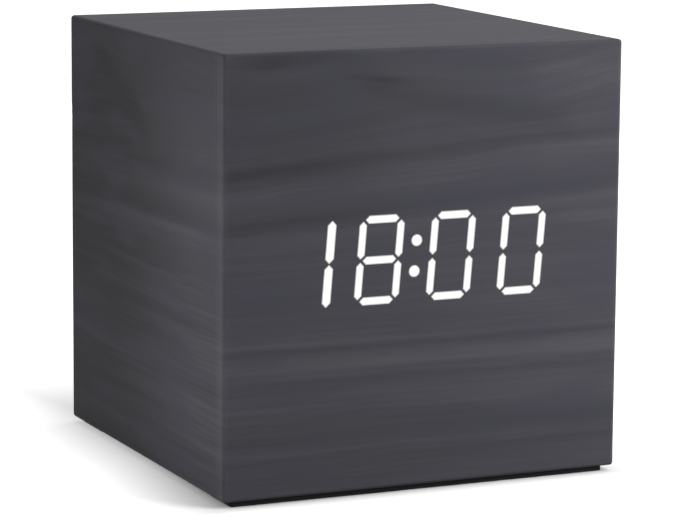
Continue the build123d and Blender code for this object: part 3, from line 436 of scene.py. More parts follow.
def film_streak(film, across, up, start, start_up, end, end_up, width, tone, coming=6.0, going=6.0):
    """One streak of the print, or one broad band of painted shade, which fades out at its sides and its
    ends.
    """
    slope = (end_up - start_up) / (end - start)
    line = film.math("MULTIPLY_ADD", across, slope, start_up - slope * start)
    off = film.math("ABSOLUTE", film.math("SUBTRACT", up, line))
    body = film.fade(off, 0.0, width, tone, 0.0)
    opening = film.fade(across, start - coming / 2, start + coming / 2)
    closing = film.fade(across, end + going / 2, end - going / 2)
    return film.math("MULTIPLY", film.math("MULTIPLY", body, opening), closing)


def film_finish(colours):
    """Charcoal wood print: layers that run round the box and over its top, with a flame in the upper third.

    A painted highlight runs along the upright edges of the front, and painted shade
    darkens the back of the left side and the upper left of the front.
    """
    film = Finish("wood_film_print", specular=0.1)
    x, y, z = film.axes()
    front, base, lid = FILM_LOW.y / MM, FILM_LOW.z / MM, FILM_HIGH.z / MM
    run = film.math("SUBTRACT", y, front)
    top = film.fade(z, lid - FILM_TURN_START, lid - FILM_TURN_END)
    under = film.fade(z, base + FILM_TURN_START, base + FILM_TURN_END)
    sides = film.math("SUBTRACT", film.math("SUBTRACT", 1.0, top), under)
    turned = film.math("MULTIPLY", film.math("MULTIPLY", film.math("SIGN", x), run), sides)
    across = film.math("ADD", x, turned)
    up = film.math("SUBTRACT", z, base)
    up = film.math("MULTIPLY_ADD", run, film.math("SUBTRACT", top, under), up)

    # Layers rise a little to the right above the middle, and swing in the flame
    half_width = FILM_HIGH.x / MM
    front_part = film.math("MULTIPLY", film.math("MAXIMUM", across, -half_width), FILM_FRONT_SLOPE)
    left_part = film.math("MINIMUM", film.math("ADD", across, half_width), 0.0)
    rise = film.math("MULTIPLY_ADD", left_part, FILM_LEFT_SLOPE, front_part)
    rise = film.math("MULTIPLY", rise, film.fade(up, 28.0, 40.0))
    swing = film.math("SINE", film.math("MULTIPLY_ADD", across, 2 * math.pi / FLAME_LENGTH, FLAME_PHASE))
    swing = film.math("MULTIPLY", swing, film.fade(up, 47.0, 55.0, 0.0, FLAME_REACH))
    swing = film.math("MULTIPLY", swing, film.fade(up, 59.0, 74.0, 1.0, 0.15))
    sheet = film.point(across, up)
    wave = film.math("SUBTRACT", film.noise(sheet, (0.045, 0.07, 1.0), 1.0), 0.5)
    wave = film.math("MULTIPLY", wave, film.fade(up, 30.0, 52.0, 1.2, 2.6))
    level = film.math("SUBTRACT", film.math("SUBTRACT", up, rise), swing)
    layer = film.math("ADD", level, wave)
    grain = film.point(across, layer)

    fine = film.noise(grain, (0.030, 1.5, 1.0), 3.0, 0.6)
    middle = film.noise(grain, (0.016, 0.42, 1.0), 2.0, 0.5, 7.0)
    broad = film.noise(grain, (0.010, 0.12, 1.0), 1.0, 0.5, 3.0)
    height = film.math("DIVIDE", film.math("MULTIPLY_ADD", wave, 0.3, level), FILM_LAYERS[-1][0])
    laid = film.ramp(height, [(at / FILM_LAYERS[-1][0], (0.5 + tone * 2,) * 3) for at, tone in FILM_LAYERS])
    laid = film.math("SUBTRACT", laid, 0.5)
    low_left = film.math("MULTIPLY", film.fade(across, -29.0, -34.0), film.fade(up, 31.0, 27.0))
    laid = film.math("MULTIPLY", laid, film.fade(low_left, 0.0, 1.0, 0.5, 0.12))
    streaks = laid
    waved = film.math("MULTIPLY_ADD", wave, 0.3, up)
    for streak in FILM_STREAKS_AND_SHADES:
        streaks = film.math("ADD", streaks, film_streak(film, across, waved, *streak))
    broken = film.math("ADD", fine, film.math("MULTIPLY_ADD", middle, 0.6, 0.2))
    tone = film.math("MULTIPLY_ADD", streaks, broken, 0.5)
    fine_part = film.fade(low_left, 0.0, 1.0, 0.34, 0.95)
    tone = film.math("MULTIPLY_ADD", film.math("SUBTRACT", fine, 0.5), fine_part, tone)
    tone = film.math("MULTIPLY_ADD", film.math("SUBTRACT", middle, 0.5), fine_part, tone)
    tone = film.math("MULTIPLY_ADD", film.math("SUBTRACT", broad, 0.5), 0.25, tone)
    # Painted highlight along the upright edges of the front
    past_edge = film.math("SUBTRACT", film.math("ABSOLUTE", across), half_width)
    edge_highlight = film.fade(past_edge, 0.2, 4.0, FILM_EDGE_HIGHLIGHT, 0.0)
    edge_highlight = film.math("MULTIPLY", film.fade(past_edge, -0.8, -0.1), edge_highlight)
    tone = film.math("MULTIPLY_ADD", edge_highlight, sides, tone)
    deep = shade_of(colours.film_dark, 0.5)
    stops = [(0.0, deep), (0.22, colours.film_dark), (0.5, colours.film_mid), (0.8, colours.film_light)]
    shade = film.ramp(tone, stops)
    patches = film.fade(film.noise(grain, (0.05, 0.16, 1.0), 1.0, 0.5, 11.0), 0.45, 0.65, 0.0, 0.4)
    shade = film.mix(patches, shade, colours.film_cool)
    pores = film.fade(film.noise(grain, (0.22, 5.0, 1.0), 2.0, 0.6, 5.0), 0.60, 0.72, 0.0, 0.22)
    film.paint(film.mix(pores, shade, colours.film_dark))
    film.roughen(fine, 0.58, 0.72)
    film.relief(film.math("SUBTRACT", fine, pores), 0.02, 0.6)
    return film


def glow_finish(colours):
    """Light that comes through the film, a little uneven over each bar, and weaker at the bar's edge."""
    glow = Finish("lit_bar_light", roughness=0.5)
    cloud = glow.noise(glow.place, (0.9, 0.9, 0.9), 1.0)
    light = glow.ramp(cloud, [(0.3, shade_of(colours.glow, 0.94)), (0.6, tuple(colours.glow))])
    core = glow.node("ShaderNodeAttribute", {}, attribute_name="core").outputs["Fac"]
    edge = glow.ramp(core, [(0.0, (0.16,) * 3), (1.0, (1.0,) * 3), (0.5, (0.62,) * 3)])
    glow.paint((0.02, 0.02, 0.02))
    glow.feed(glow.shader.inputs["Emission Color"], glow.mix(1.0, light, edge, "MULTIPLY"))
    glow.shader.inputs["Emission Strength"].default_value = 1.05
    return glow


def fibreboard_finish(colours):
    """Pressed fibres with dark and pale specks."""
    board = Finish("raw_fibreboard", roughness=0.85, specular=0.25)
    fibres = board.noise(board.place, (1.6, 1.6, 4.0), 4.0, 0.65)
    specks = board.noise(board.place, (5.0, 5.0, 5.0), 2.0, 0.6, 4.0)
    mixed = board.math("MULTIPLY_ADD", specks, 0.4, board.math("MULTIPLY", fibres, 0.6))
    base = colours.fibreboard
    tones = [(0.34, shade_of(base, 0.62)), (0.52, tuple(base)), (0.68, shade_of(base, 1.35))]
    board.paint(board.ramp(mixed, tones))
    board.relief(mixed, 0.06)
    return board


class CLOCK_OT_dress_box(bpy.types.Operator):
    """Gives the film, the boards and the foot strips their finishes"""

    bl_idname = "clock.dress_box"
    bl_label = "Dress the box"

    def execute(self, context):
        colours = context.scene.clock_colours
        dress("wood_film", film_finish(colours))
        fibreboard = fibreboard_finish(colours)
        boards = ("front_board", "top_board", "right_board", "bottom_board", "left_board")
        for name in (*boards, "corner_blocks"):
            dress(name, fibreboard)
        # The foot strips' near-black is partly rubber and partly painted shade under the front edge
        dress("foot_strips", moulded("foot_rubber", colours.rubber, 0.25, 0.03, (0.8, 0.95), 0.2))
        return {"FINISHED"}


class CLOCK_OT_model_lit_bars(bpy.types.Operator):
    """Models the lit bars and the colon, with edges that fade into the film"""

    bl_idname = "clock.model_lit_bars"
    bl_label = "Model the lit bars"

    def execute(self, context):
        sizes = context.scene.clock_sizes
        start_clean()
        bars = bpy.data.objects.new("lit_bars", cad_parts["lit_segments"].data.copy())
        context.scene.collection.objects.link(bars)
        bars.select_set(True)
        context.view_layer.objects.active = bars
        bpy.ops.object.mode_set(mode="EDIT")
        bpy.ops.mesh.select_all(action="SELECT")
        bpy.ops.mesh.remove_doubles(threshold=1e-6)
        bpy.ops.mesh.dissolve_limited(angle_limit=math.radians(1))
        bpy.ops.object.mode_set(mode="OBJECT")
        bars.data.attributes.new("core", "FLOAT", "POINT")
        bpy.ops.object.mode_set(mode="EDIT")
        bpy.ops.mesh.select_mode(type="FACE")
        bpy.ops.object.mode_set(mode="OBJECT")
        for face in bars.data.polygons:
            face.select = face.normal.y < -0.9
        for level in (0.5, 1.0):
            bpy.ops.object.mode_set(mode="EDIT")
            bpy.ops.mesh.inset(thickness=sizes.glow_edge / 2)
            bpy.ops.object.mode_set(mode="OBJECT")
            core = bars.data.attributes["core"]
            inner = {corner for face in bars.data.polygons if face.select for corner in face.vertices}
            for corner in inner:
                core.data[corner].value = level
        settle(bars, "lit_bars", glow_finish(context.scene.clock_colours), "clock", "glow", "lit_segments")
        return {"FINISHED"}


# Finishes of the display and the boards

# In millimetres: reach of the chip's legs, width of the capacitor's stripe and depth of its bare top
CHIP_LEG_REACH = 1.38
STRIPE_WIDTH = 0.9
BARE_TOP = 0.12


def circuit_finish(colours):
    """Solder mask with paler tracks under it."""
    board = Finish("solder_mask", roughness=0.32)
    x, _, z = board.axes()
    tracks = board.node(
        "ShaderNodeTexBrick",
        {
            "Vector": board.point(x, z),
            "Color1": (0, 0, 0, 1),
            "Color2": (0, 0, 0, 1),
            "Mortar": (1, 1, 1, 1),
            "Scale": 1.0,
            "Mortar Size": 0.22,
            "Mortar Smooth": 0.2,
            "Brick Width": 5.2,
            "Row Height": 2.54,
        },
    ).outputs[0]
    weave = board.noise(board.place, (3.0, 3.0, 3.0), 2.0)
    base = board.ramp(weave, [(0.3, shade_of(colours.mask, 0.85)), (0.7, shade_of(colours.mask, 1.15))])
    board.paint(board.mix(board.math("MULTIPLY", tracks, 0.6), base, shade_of(colours.mask, 2.2)))
    board.relief(board.math("MULTIPLY_ADD", weave, 0.2, tracks), 0.03)
    return board


def chip_finish():
    """Black epoxy body with tinned legs at both sides."""
    chip = Finish("chip_epoxy", specular=0.35)
    low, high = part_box("controller_chip")
    middle = (low.z + high.z) / 2 / MM
    leg_line = (high.z - low.z) / 2 / MM - CHIP_LEG_REACH
    away = chip.math("ABSOLUTE", chip.math("SUBTRACT", chip.axes()[2], middle))
    legs = chip.math("GREATER_THAN", away, leg_line)
    grain = chip.noise(chip.place, (9.0, 9.0, 9.0), 2.0)
    body = chip.ramp(grain, [(0.3, (0.014,) * 3), (0.7, (0.026,) * 3)])
    chip.paint(chip.mix(legs, body, (0.62, 0.62, 0.60)))
    chip.links.new(legs, chip.shader.inputs["Metallic"])
    chip.roughen(legs, 0.6, 0.28)
    chip.relief(grain, 0.01)
    return chip


def capacitor_finish():
    """Dark sleeve with a pale stripe, and a bare top."""
    can = Finish("capacitor_sleeve")
    low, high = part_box("capacitor")
    x, y, _ = can.axes()
    stripe = can.math("LESS_THAN", x, low.x / MM + STRIPE_WIDTH)
    bare = can.math("GREATER_THAN", y, high.y / MM - BARE_TOP)
    cloud = can.noise(can.place, (1.5, 1.5, 1.5), 2.0)
    sleeve = can.ramp(cloud, [(0.3, (0.012, 0.018, 0.07)), (0.7, (0.02, 0.03, 0.1))])
    banded = can.mix(stripe, sleeve, (0.55, 0.57, 0.6))
    can.paint(can.mix(bare, banded, (0.72, 0.72, 0.72)))
    can.links.new(bare, can.shader.inputs["Metallic"])
    can.roughen(cloud, 0.22, 0.34)
    can.relief(cloud, 0.01)
    return can


class CLOCK_OT_dress_electronics(bpy.types.Operator):
    """Gives the display, the circuit boards and what is soldered to them their finishes"""

    bl_idname = "clock.dress_electronics"
    bl_label = "Dress the electronics"

    def execute(self, context):
        colours = context.scene.clock_colours
        white = moulded("white_moulding", colours.housing, 0.3, 0.006, (0.32, 0.42), 0.5)
        for name in ("display_housing", "board_spacers", "battery_connector", "button_connector"):
            dress(name, white)
        resin = moulded("milky_resin", (0.82, 0.82, 0.78), 0.8, 0.004, (0.18, 0.26), 0.5)
        dress("segment_diffusers", resin)
        dress("led_chips", moulded("led_phosphor", (0.85, 0.72, 0.30), 0.2, 0.006, (0.4, 0.5), 0.5))
        circuit = circuit_finish(colours)
        dress("main_board", circuit)
        dress("button_board", circuit)
        dress("controller_chip", chip_finish())
        epoxy = moulded("black_moulding", (0.02, 0.02, 0.02), 0.12, 0.008, (0.45, 0.58), 0.4)
        for name in ("buzzer", "switch_bodies", "set_plunger", "up_plunger", "down_plunger", "power_jack"):
            dress(name, epoxy)
        tin = metal("drawn_tin", (0.70, 0.70, 0.71))
        dress("clock_crystal", tin)
        dress("microphone", tin)
        dress("capacitor", capacitor_finish())
        bead = moulded("sensor_epoxy", (0.03, 0.03, 0.03), 0.4, 0.01, (0.15, 0.25), 0.5)
        dress("temperature_sensor", bead)
        return {"FINISHED"}


# Finishes of the rear

# A cell's sleeve, in millimetres from its ends: pale band, hairline with its half width, and bare metal
BAND_END = 11.5
HAIRLINE_AT = 12.6
HAIRLINE_HALF = 0.35
BARE_PLUS = 1.35
BARE_MINUS = 0.35


def cell_finish(name, node_name, colours, plus_side):
    """Sleeved cell: bare ends, a dark sleeve and a pale band at the positive end."""
    cell = Finish(name)
    low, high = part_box(node_name)
    x = cell.axes()[0]
    if plus_side > 0:
        away = cell.math("SUBTRACT", high.x / MM, x)
    else:
        away = cell.math("SUBTRACT", x, low.x / MM)
    length = (high.x - low.x) / MM
    band = cell.math("LESS_THAN", away, BAND_END)
    hairline = cell.math("COMPARE", away, HAIRLINE_AT, HAIRLINE_HALF)
    top_end = cell.math("LESS_THAN", away, BARE_PLUS)
    foot_end = cell.math("GREATER_THAN", away, length - BARE_MINUS)
    bare = cell.math("MAXIMUM", top_end, foot_end)
    drawn = cell.noise(cell.place, (0.6, 4.0, 4.0), 3.0)
    base = colours.cell_sleeve
    sleeve = cell.ramp(drawn, [(0.3, shade_of(base, 0.85)), (0.7, shade_of(base, 1.15))])
    pale = cell.ramp(drawn, [(0.3, (0.52, 0.53, 0.55)), (0.7, (0.62, 0.63, 0.65))])
    marked = cell.mix(cell.math("MAXIMUM", band, hairline), sleeve, pale)
    cell.paint(cell.mix(bare, marked, (0.66, 0.66, 0.65)))
    cell.feed(cell.shader.inputs["Metallic"], cell.fade(bare, 0.0, 1.0, 0.55, 1.0))
    cell.roughen(drawn, 0.24, 0.36)
    cell.relief(drawn, 0.004)
    return cell


class CLOCK_OT_dress_rear(bpy.types.Operator):
    """Gives the rear cover, the battery door, the buttons, the cells and the contacts their finishes"""

    bl_idname = "clock.dress_rear"
    bl_label = "Dress the rear"

    def execute(self, context):
        colours = context.scene.clock_colours
        cover = moulded("cover_moulding", colours.cover, 0.16, 0.014, (0.5, 0.64), 0.4)
        dress("rear_cover", cover)
        dress("battery_door", cover)
        button = moulded("button_moulding", colours.button, 0.3, 0.004, (0.34, 0.44), 0.45)
        for name in ("set_button", "up_button", "down_button"):
            dress(name, button)
        dress("bottom_cell", cell_finish("bottom_cell_sleeve", "bottom_cell", colours, 1))
        dress("middle_cell", cell_finish("middle_cell_sleeve", "middle_cell", colours, -1))
        dress("top_cell", cell_finish("top_cell_sleeve", "top_cell", colours, 1))
        nickel = metal("nickel_plate", (0.62, 0.60, 0.56), (0.18, 0.3), (1.2, 6.0, 1.2))
        for name in ("negative_terminal", "positive_terminal", "left_bridge", "right_bridge"):
            dress(name, nickel)
        dress("jack_pin", metal("bright_brass", (0.70, 0.52, 0.22), (0.15, 0.25), (6.0, 1.0, 6.0)))
        return {"FINISHED"}


# Screws

# Shares of a shank: its root within the thread, and of that root the point's flat and taper
ROOT_SHARE = 0.78
POINT_SHARE = 0.25
TAPER_SHARE = 0.9

# A head from its seat upwards: steps as shares of its height, and its radius there as a share
HEAD_PROFILE = ((0.0, 1.0), (0.55, 1.0), (0.27, 0.93), (0.13, 0.78), (0.05, 0.5))

# The recess's length as a share of the head, and what is left of its arms at their foot
RECESS_SHARE = 0.56
RECESS_TAPER = (0.45, 0.7, 1)

# The thread's ridge: half height as a share of the pitch, and its foot and start as shares of the root
RIDGE_SHARE = 0.3
RIDGE_FOOT = 0.9
RIDGE_START = 1.6
SIDES = 32
THREAD_STEPS = 24


def model_screw(sizes, head, shank, length):
    """A pan-head screw with a cross recess, standing on its point along Z with its seat at the origin."""
    start_clean()
    radius = shank / 2
    core = radius * ROOT_SHARE
    height = -length
    width = core * POINT_SHARE
    bpy.ops.mesh.primitive_circle_add(
        vertices=SIDES, radius=width, fill_type="NGON", location=(0, 0, height)
    )
    screw = bpy.context.object
    bpy.ops.object.mode_set(mode="EDIT")
    bpy.ops.mesh.select_all(action="SELECT")
    steps = [(core * TAPER_SHARE, core), (length - core * TAPER_SHARE, core)]
    steps += [(sizes.head_height * rise, head / 2 * share) for rise, share in HEAD_PROFILE]
    for rise, wanted in steps:
        bpy.ops.mesh.extrude_region_move(TRANSFORM_OT_translate={"value": (0, 0, rise)})
        height += rise
        factor = wanted / width
        bpy.ops.transform.resize(value=(factor, factor, 1), center_override=(0, 0, height))
        width = wanted
    bpy.ops.mesh.select_all(action="SELECT")
    bpy.ops.mesh.remove_doubles(threshold=1e-6)
    bpy.ops.mesh.normals_make_consistent(inside=False)
    bpy.ops.object.mode_set(mode="OBJECT")
    bpy.ops.object.transform_apply(location=True, rotation=True, scale=True)
    cut_recess(screw, sizes, head)
    add_thread(screw, sizes, core, radius, length)
    return screw


def cut_recess(screw, sizes, head):
    """Sinks a tapered cross into a screw's head."""
    arms = []
    for turn in (0.0, math.pi / 2):
        start_clean()
        bpy.ops.mesh.primitive_cube_add(size=1.0)
        arm = bpy.context.object
        bpy.ops.object.mode_set(mode="EDIT")
        bpy.ops.mesh.select_all(action="SELECT")
        arm_size = (head * RECESS_SHARE, sizes.recess_width, sizes.recess_depth * 2)
        bpy.ops.transform.resize(value=arm_size, center_override=(0, 0, 0))
        bpy.ops.transform.translate(value=(0, 0, sizes.head_height))
        bpy.ops.object.mode_set(mode="OBJECT")
        for vertex in arm.data.vertices:
            vertex.select = vertex.co.z < sizes.head_height
        bpy.ops.object.mode_set(mode="EDIT")
        bpy.ops.transform.resize(value=RECESS_TAPER, center_override=(0, 0, 0))
        bpy.ops.object.mode_set(mode="OBJECT")
        arm.rotation_euler.z = turn
        arms.append(arm)
    start_clean()
    screw.select_set(True)
    bpy.context.view_layer.objects.active = screw
    for arm in arms:
        cut = screw.modifiers.new("recess", "BOOLEAN")
        cut.operation = "DIFFERENCE"
        cut.solver = "EXACT"
        cut.object = arm
    apply_all(screw)
    for arm in arms:
        bpy.data.objects.remove(arm)


def add_thread(screw, sizes, core, radius, length):
    """Winds a ridge of thread up the shank."""
    start_clean()
    pitch = sizes.thread_pitch
    turns = int((length - radius * 2) / pitch)
    half = pitch * RIDGE_SHARE
    foot = core * RIDGE_FOOT
    bpy.ops.mesh.primitive_circle_add(vertices=3, radius=half)
    ridge = bpy.context.object
    corners = [(radius, 0, 0), (foot, 0, half), (foot, 0, -half)]
    for vertex, corner in zip(ridge.data.vertices, corners):
        vertex.co = Vector(corner) + Vector((0, 0, core * RIDGE_START - length))
    wind = ridge.modifiers.new("wind", "SCREW")
    wind.angle = 2 * math.pi
    wind.screw_offset = pitch
    wind.iterations = turns
    wind.steps = THREAD_STEPS
    wind.render_steps = THREAD_STEPS
    wind.use_merge_vertices = False
    start_clean()
    ridge.select_set(True)
    apply_all(ridge)
    bpy.ops.object.mode_set(mode="EDIT")
    bpy.ops.mesh.select_all(action="DESELECT")
    bpy.ops.mesh.select_mode(type="EDGE")
    bpy.ops.mesh.select_non_manifold()
    bpy.ops.mesh.fill()
    bpy.ops.mesh.select_all(action="SELECT")
    bpy.ops.mesh.normals_make_consistent(inside=False)
    bpy.ops.object.mode_set(mode="OBJECT")
    start_clean()
    ridge.select_set(True)
    screw.select_set(True)
    bpy.context.view_layer.objects.active = screw
    bpy.ops.object.join()


def place_screws(model, node_name, places, seat, facing, finish, prefix):
    """Copies a screw to each of its places, with its head towards the rear or the front."""
    for number, (x, z) in enumerate(places, 1):
        copy = model.copy()
        copy.data = model.data.copy()
        bpy.context.scene.collection.objects.link(copy)
        copy.rotation_euler = (-math.pi / 2 * facing, 0, 0)
        copy.location = (x, seat, z)
        settle(copy, f"{prefix}_{number}", finish, "clock", "steel", node_name)
    bpy.data.objects.remove(model)


class CLOCK_OT_model_screws(bpy.types.Operator):
    """Models the cover's, the main board's and the button board's screws"""

    bl_idname = "clock.model_screws"
    bl_label = "Model the screws"

    def execute(self, context):
        sizes = context.scene.clock_sizes
        finish = metal("plated_steel", (0.55, 0.55, 0.56), (0.22, 0.36), (5.0, 5.0, 5.0))
        for node_name, prefix in (("cover_screws", "cover_screw"), ("board_screws", "board_screw")):
            low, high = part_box(node_name)
            edge = sizes.screw_head / 2
            places = [
                (x, z) for x in (low.x + edge, high.x - edge) for z in (low.z + edge, high.z - edge)
            ]
            seat = high.y - sizes.head_height
            screw = model_screw(sizes, sizes.screw_head, sizes.screw_shank, seat - low.y)
            place_screws(screw, node_name, places, seat, 1, finish, prefix)
        low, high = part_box("button_board_screws")
        edge = sizes.small_head / 2
        places = [(low.x + edge, (low.z + high.z) / 2), (high.x - edge, (low.z + high.z) / 2)]
        seat = low.y + sizes.head_height
        screw = model_screw(sizes, sizes.small_head, sizes.small_shank, high.y - seat)
        place_screws(screw, "button_board_screws", places, seat, -1, finish, "button_board_screw")
        return {"FINISHED"}


# Wires

# Routes in millimetres, from the main board to the end contacts
RED_ROUTE = (
    (1.25, -14.6, 15.2),
    (1.25, -9.1, 15.2),
    (12.83, -1.3, 11.73),
    (24.4, 6.5, 16.25),
    (24.4, 12.0, 16.25),
)
BLACK_ROUTE = (
    (-1.25, -14.6, 15.2),
    (-1.25, -9.1, 15.2),
    (-12.83, -1.3, 22.73),
    (-24.4, 6.5, 38.25),
    (-24.4, 12.0, 38.25),
)

# The ribbon's route from the main board to the button board, as depth and height
RIBBON_ROUTE = ((-14.6, 50.2), (-9.1, 50.2), (1.75, 43.2), (12.6, 49.75), (18.1, 49.75))

# A ribbon wire's thickness as a share of the spacing, so that neighbours don't touch
STRAND_SHARE = 0.98


def wire(points, diameter):
    """A smooth insulated wire along its route, in millimetres."""
    start_clean()
    bpy.ops.curve.primitive_nurbs_path_add()
    path = bpy.context.object
    spline = path.data.splines[0]
    for point, place in zip(spline.points, points):
        point.co = (place[0] * MM, place[1] * MM, place[2] * MM, 1.0)
    spline.order_u = 3
    spline.use_endpoint_u = True
    spline.resolution_u = 12
    path.data.bevel_depth = diameter / 2
    path.data.bevel_resolution = 4
    path.data.use_fill_caps = True
    bpy.ops.object.convert(target="MESH")
    return bpy.context.object


class CLOCK_OT_model_wires(bpy.types.Operator):
    """Models the two battery leads and the button board's ribbon"""

    bl_idname = "clock.model_wires"
    bl_label = "Model the wires"

    def execute(self, context):
        sizes = context.scene.clock_sizes
        colours = context.scene.clock_colours
        insulation = moulded("red_insulation", colours.red_wire, 0.5, 0.006, (0.3, 0.4), 0.5)
        red = wire(RED_ROUTE, sizes.lead_diameter)
        settle(red, "red_wire", insulation, "clock", "red_wire", "red_lead")
        insulation = moulded("black_insulation", colours.black_wire, 0.5, 0.006, (0.3, 0.4), 0.5)
        black = wire(BLACK_ROUTE, sizes.lead_diameter)
        settle(black, "black_wire", insulation, "clock", "black_wire", "black_lead")
        self.model_ribbon(sizes, colours)
        return {"FINISHED"}

    def model_ribbon(self, sizes, colours):
        """Lays the ribbon's wires side by side."""
        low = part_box("button_ribbon")[0]
        pitch = sizes.ribbon_pitch
        strands = []
        for number in range(sizes.ribbon_wires):
            x = (low.x + pitch * (number + 0.5)) / MM
            strands.append(wire([(x, y, z) for y, z in RIBBON_ROUTE], pitch * STRAND_SHARE))
        start_clean()
        for strand in strands:
            strand.select_set(True)
        bpy.context.view_layer.objects.active = strands[0]
        bpy.ops.object.join()
        ribbon = Finish("ribbon_insulation", roughness=0.45)
        edge_wire = ribbon.math("LESS_THAN", ribbon.axes()[0], (low.x + pitch) / MM)
        cloud = ribbon.noise(ribbon.place, (1.5, 1.5, 1.5), 2.0)
        tones = [(0.3, shade_of(colours.ribbon, 0.9)), (0.7, shade_of(colours.ribbon, 1.1))]
        ribbon.paint(ribbon.mix(edge_wire, ribbon.ramp(cloud, tones), colours.red_wire))
        ribbon.relief(cloud, 0.006)
        settle(strands[0], "ribbon_wires", ribbon, "clock", "ribbon", "button_ribbon")


# Stage

# Near the clock the ground's own light is lowered in the shape of a painted shadow, over its cast shadow
# Painted shadow on the ground, behind and before the clock: a slope along Y and a distance
SHADOW_BEHIND = (0.3, 0.0185)
SHADOW_BEFORE = (-3.0, -0.068)

# How much narrower the painted shadow gets with Y, all along it and before the clock's middle
SHADOW_TAPER = 0.09
SHADOW_FRONT_TAPER = 0.13

# The last share of the ground's light, and the distances over which it comes
FAR_LIGHT = 0.2
FAR_START = 0.1
FAR_END = 0.3

# The ground's colour as the camera sees it, and as it lights the clock
GROUND_SEEN = (0.8, 0.8, 0.8, 1.0)
GROUND_LIGHTING = (0.3, 0.3, 0.3, 1.0)
FLOOR_SIZE = 12.0
FLOOR_DROP = 0.00002

# Soft boxes in metres: width, place and aim; their powers are properties of the same names
LAMPS = {
    "overhead": (0.7, (0.22, -0.05, 0.75), (0, 0, 0.03)),
    "right_lamp": (0.12, (0.13, -0.16, 0.11), (0.02, -0.03, 0.03)),
    "left_lamp": (0.05, (-0.085, -0.035, 0.035), (-0.03, -0.02, 0.028)),
    "rear_lamp": (0.05, (0.14, 0.40, 0.03), (0.01, 0.03, 0.03)),
}


def seen_rays(tree):
    """1 for camera, glossy and transmission rays, which all see the white ground."""
    path = tree.nodes.new("ShaderNodeLightPath")
    most = path.outputs["Is Camera Ray"]
    for name in ("Is Glossy Ray", "Is Transmission Ray"):
        most = floor_sum(tree, "MAXIMUM", most, path.outputs[name])
    return most


def floor_sum(tree, operation, *values):
    """One sum on numbers of the ground's finish."""
    made = tree.nodes.new("ShaderNodeMath")
    made.operation = operation
    for socket, value in zip(made.inputs, values):
        if isinstance(value, bpy.types.NodeSocket):
            tree.links.new(value, socket)
        else:
            socket.default_value = value
    return made.outputs[0]


def floor_level(tree, distance, start, end, high):
    """Goes smoothly from 0 to high between two distances from the clock's middle."""
    made = tree.nodes.new("ShaderNodeMapRange")
    made.interpolation_type = "SMOOTHSTEP"
    made.inputs["From Min"].default_value = start
    made.inputs["From Max"].default_value = end
    made.inputs["To Min"].default_value = 0.0
    made.inputs["To Max"].default_value = high
    tree.links.new(distance, made.inputs["Value"])
    return made.outputs[0]


def floor_material(stage):
    """White ground that keeps the clock's cast shadow and can be looked through from below.

    Near the clock its light is lowered, a painted shadow.
    """
    ground = bpy.data.materials.new("white_ground")
    ground.use_nodes = True
    tree = ground.node_tree
    tree.nodes.clear()
    output = tree.nodes.new("ShaderNodeOutputMaterial")
    matt = tree.nodes.new("ShaderNodeBsdfDiffuse")
    way = tree.nodes.new("ShaderNodeLightPath")
    tint = tree.nodes.new("ShaderNodeMix")
    tint.data_type = "RGBA"
    tint.inputs[6].default_value = GROUND_SEEN
    tint.inputs[7].default_value = GROUND_LIGHTING
    tree.links.new(way.outputs["Is Diffuse Ray"], tint.inputs[0])
    tree.links.new(tint.outputs[2], matt.inputs["Color"])
    place = tree.nodes.new("ShaderNodeTexCoord").outputs["Object"]
    parts = tree.nodes.new("ShaderNodeSeparateXYZ")
    tree.links.new(place, parts.inputs[0])
    x, y = parts.outputs[0], parts.outputs[1]
    behind_it = floor_sum(tree, "MULTIPLY_ADD", y, *SHADOW_BEHIND)
    before_it = floor_sum(tree, "MULTIPLY_ADD", y, *SHADOW_BEFORE)
    front_half = floor_sum(tree, "MINIMUM", y, 0.0)
    beside = floor_sum(tree, "ABSOLUTE", x)
    beside = floor_sum(tree, "MULTIPLY_ADD", y, SHADOW_TAPER, beside)
    beside = floor_sum(tree, "MULTIPLY_ADD", front_half, SHADOW_FRONT_TAPER, beside)
    beside = floor_sum(tree, "MAXIMUM", beside, floor_sum(tree, "MAXIMUM", behind_it, before_it))
    # Painted shadow: the light that the camera sees from the ground is lowered near the clock
    painted_shadow_level = floor_level(tree, beside, stage.shadow_inner, stage.shadow_outer, 1.0 - FAR_LIGHT)
    far = floor_level(tree, beside, FAR_START, FAR_END, FAR_LIGHT)
    level = floor_sum(tree, "ADD", painted_shadow_level, far)
    seen = floor_sum(tree, "MULTIPLY", seen_rays(tree), level)
    light = tree.nodes.new("ShaderNodeEmission")
    light.inputs["Color"].default_value = (1.0, 1.0, 1.0, 1.0)
    tree.links.new(seen, light.inputs["Strength"])
    both = tree.nodes.new("ShaderNodeAddShader")
    tree.links.new(matt.outputs[0], both.inputs[0])
    tree.links.new(light.outputs[0], both.inputs[1])
    clear = tree.nodes.new("ShaderNodeBsdfTransparent")
    behind = tree.nodes.new("ShaderNodeNewGeometry")
    choice = tree.nodes.new("ShaderNodeMixShader")
    tree.links.new(behind.outputs["Backfacing"], choice.inputs[0])
    tree.links.new(both.outputs[0], choice.inputs[1])
    tree.links.new(clear.outputs[0], choice.inputs[2])
    tree.links.new(choice.outputs[0], output.inputs["Surface"])
    return ground


def lamp(name, watts, width, place, aim):
    """A square soft box."""
    data = bpy.data.lights.new(name, "AREA")
    data.shape = "SQUARE"
    data.size = width
    data.energy = watts
    made = bpy.data.objects.new(name, data)
    bpy.context.scene.collection.objects.link(made)
    made.location = place
    made.rotation_euler = (Vector(aim) - Vector(place)).to_track_quat("-Z", "Y").to_euler()
    made.visible_camera = False


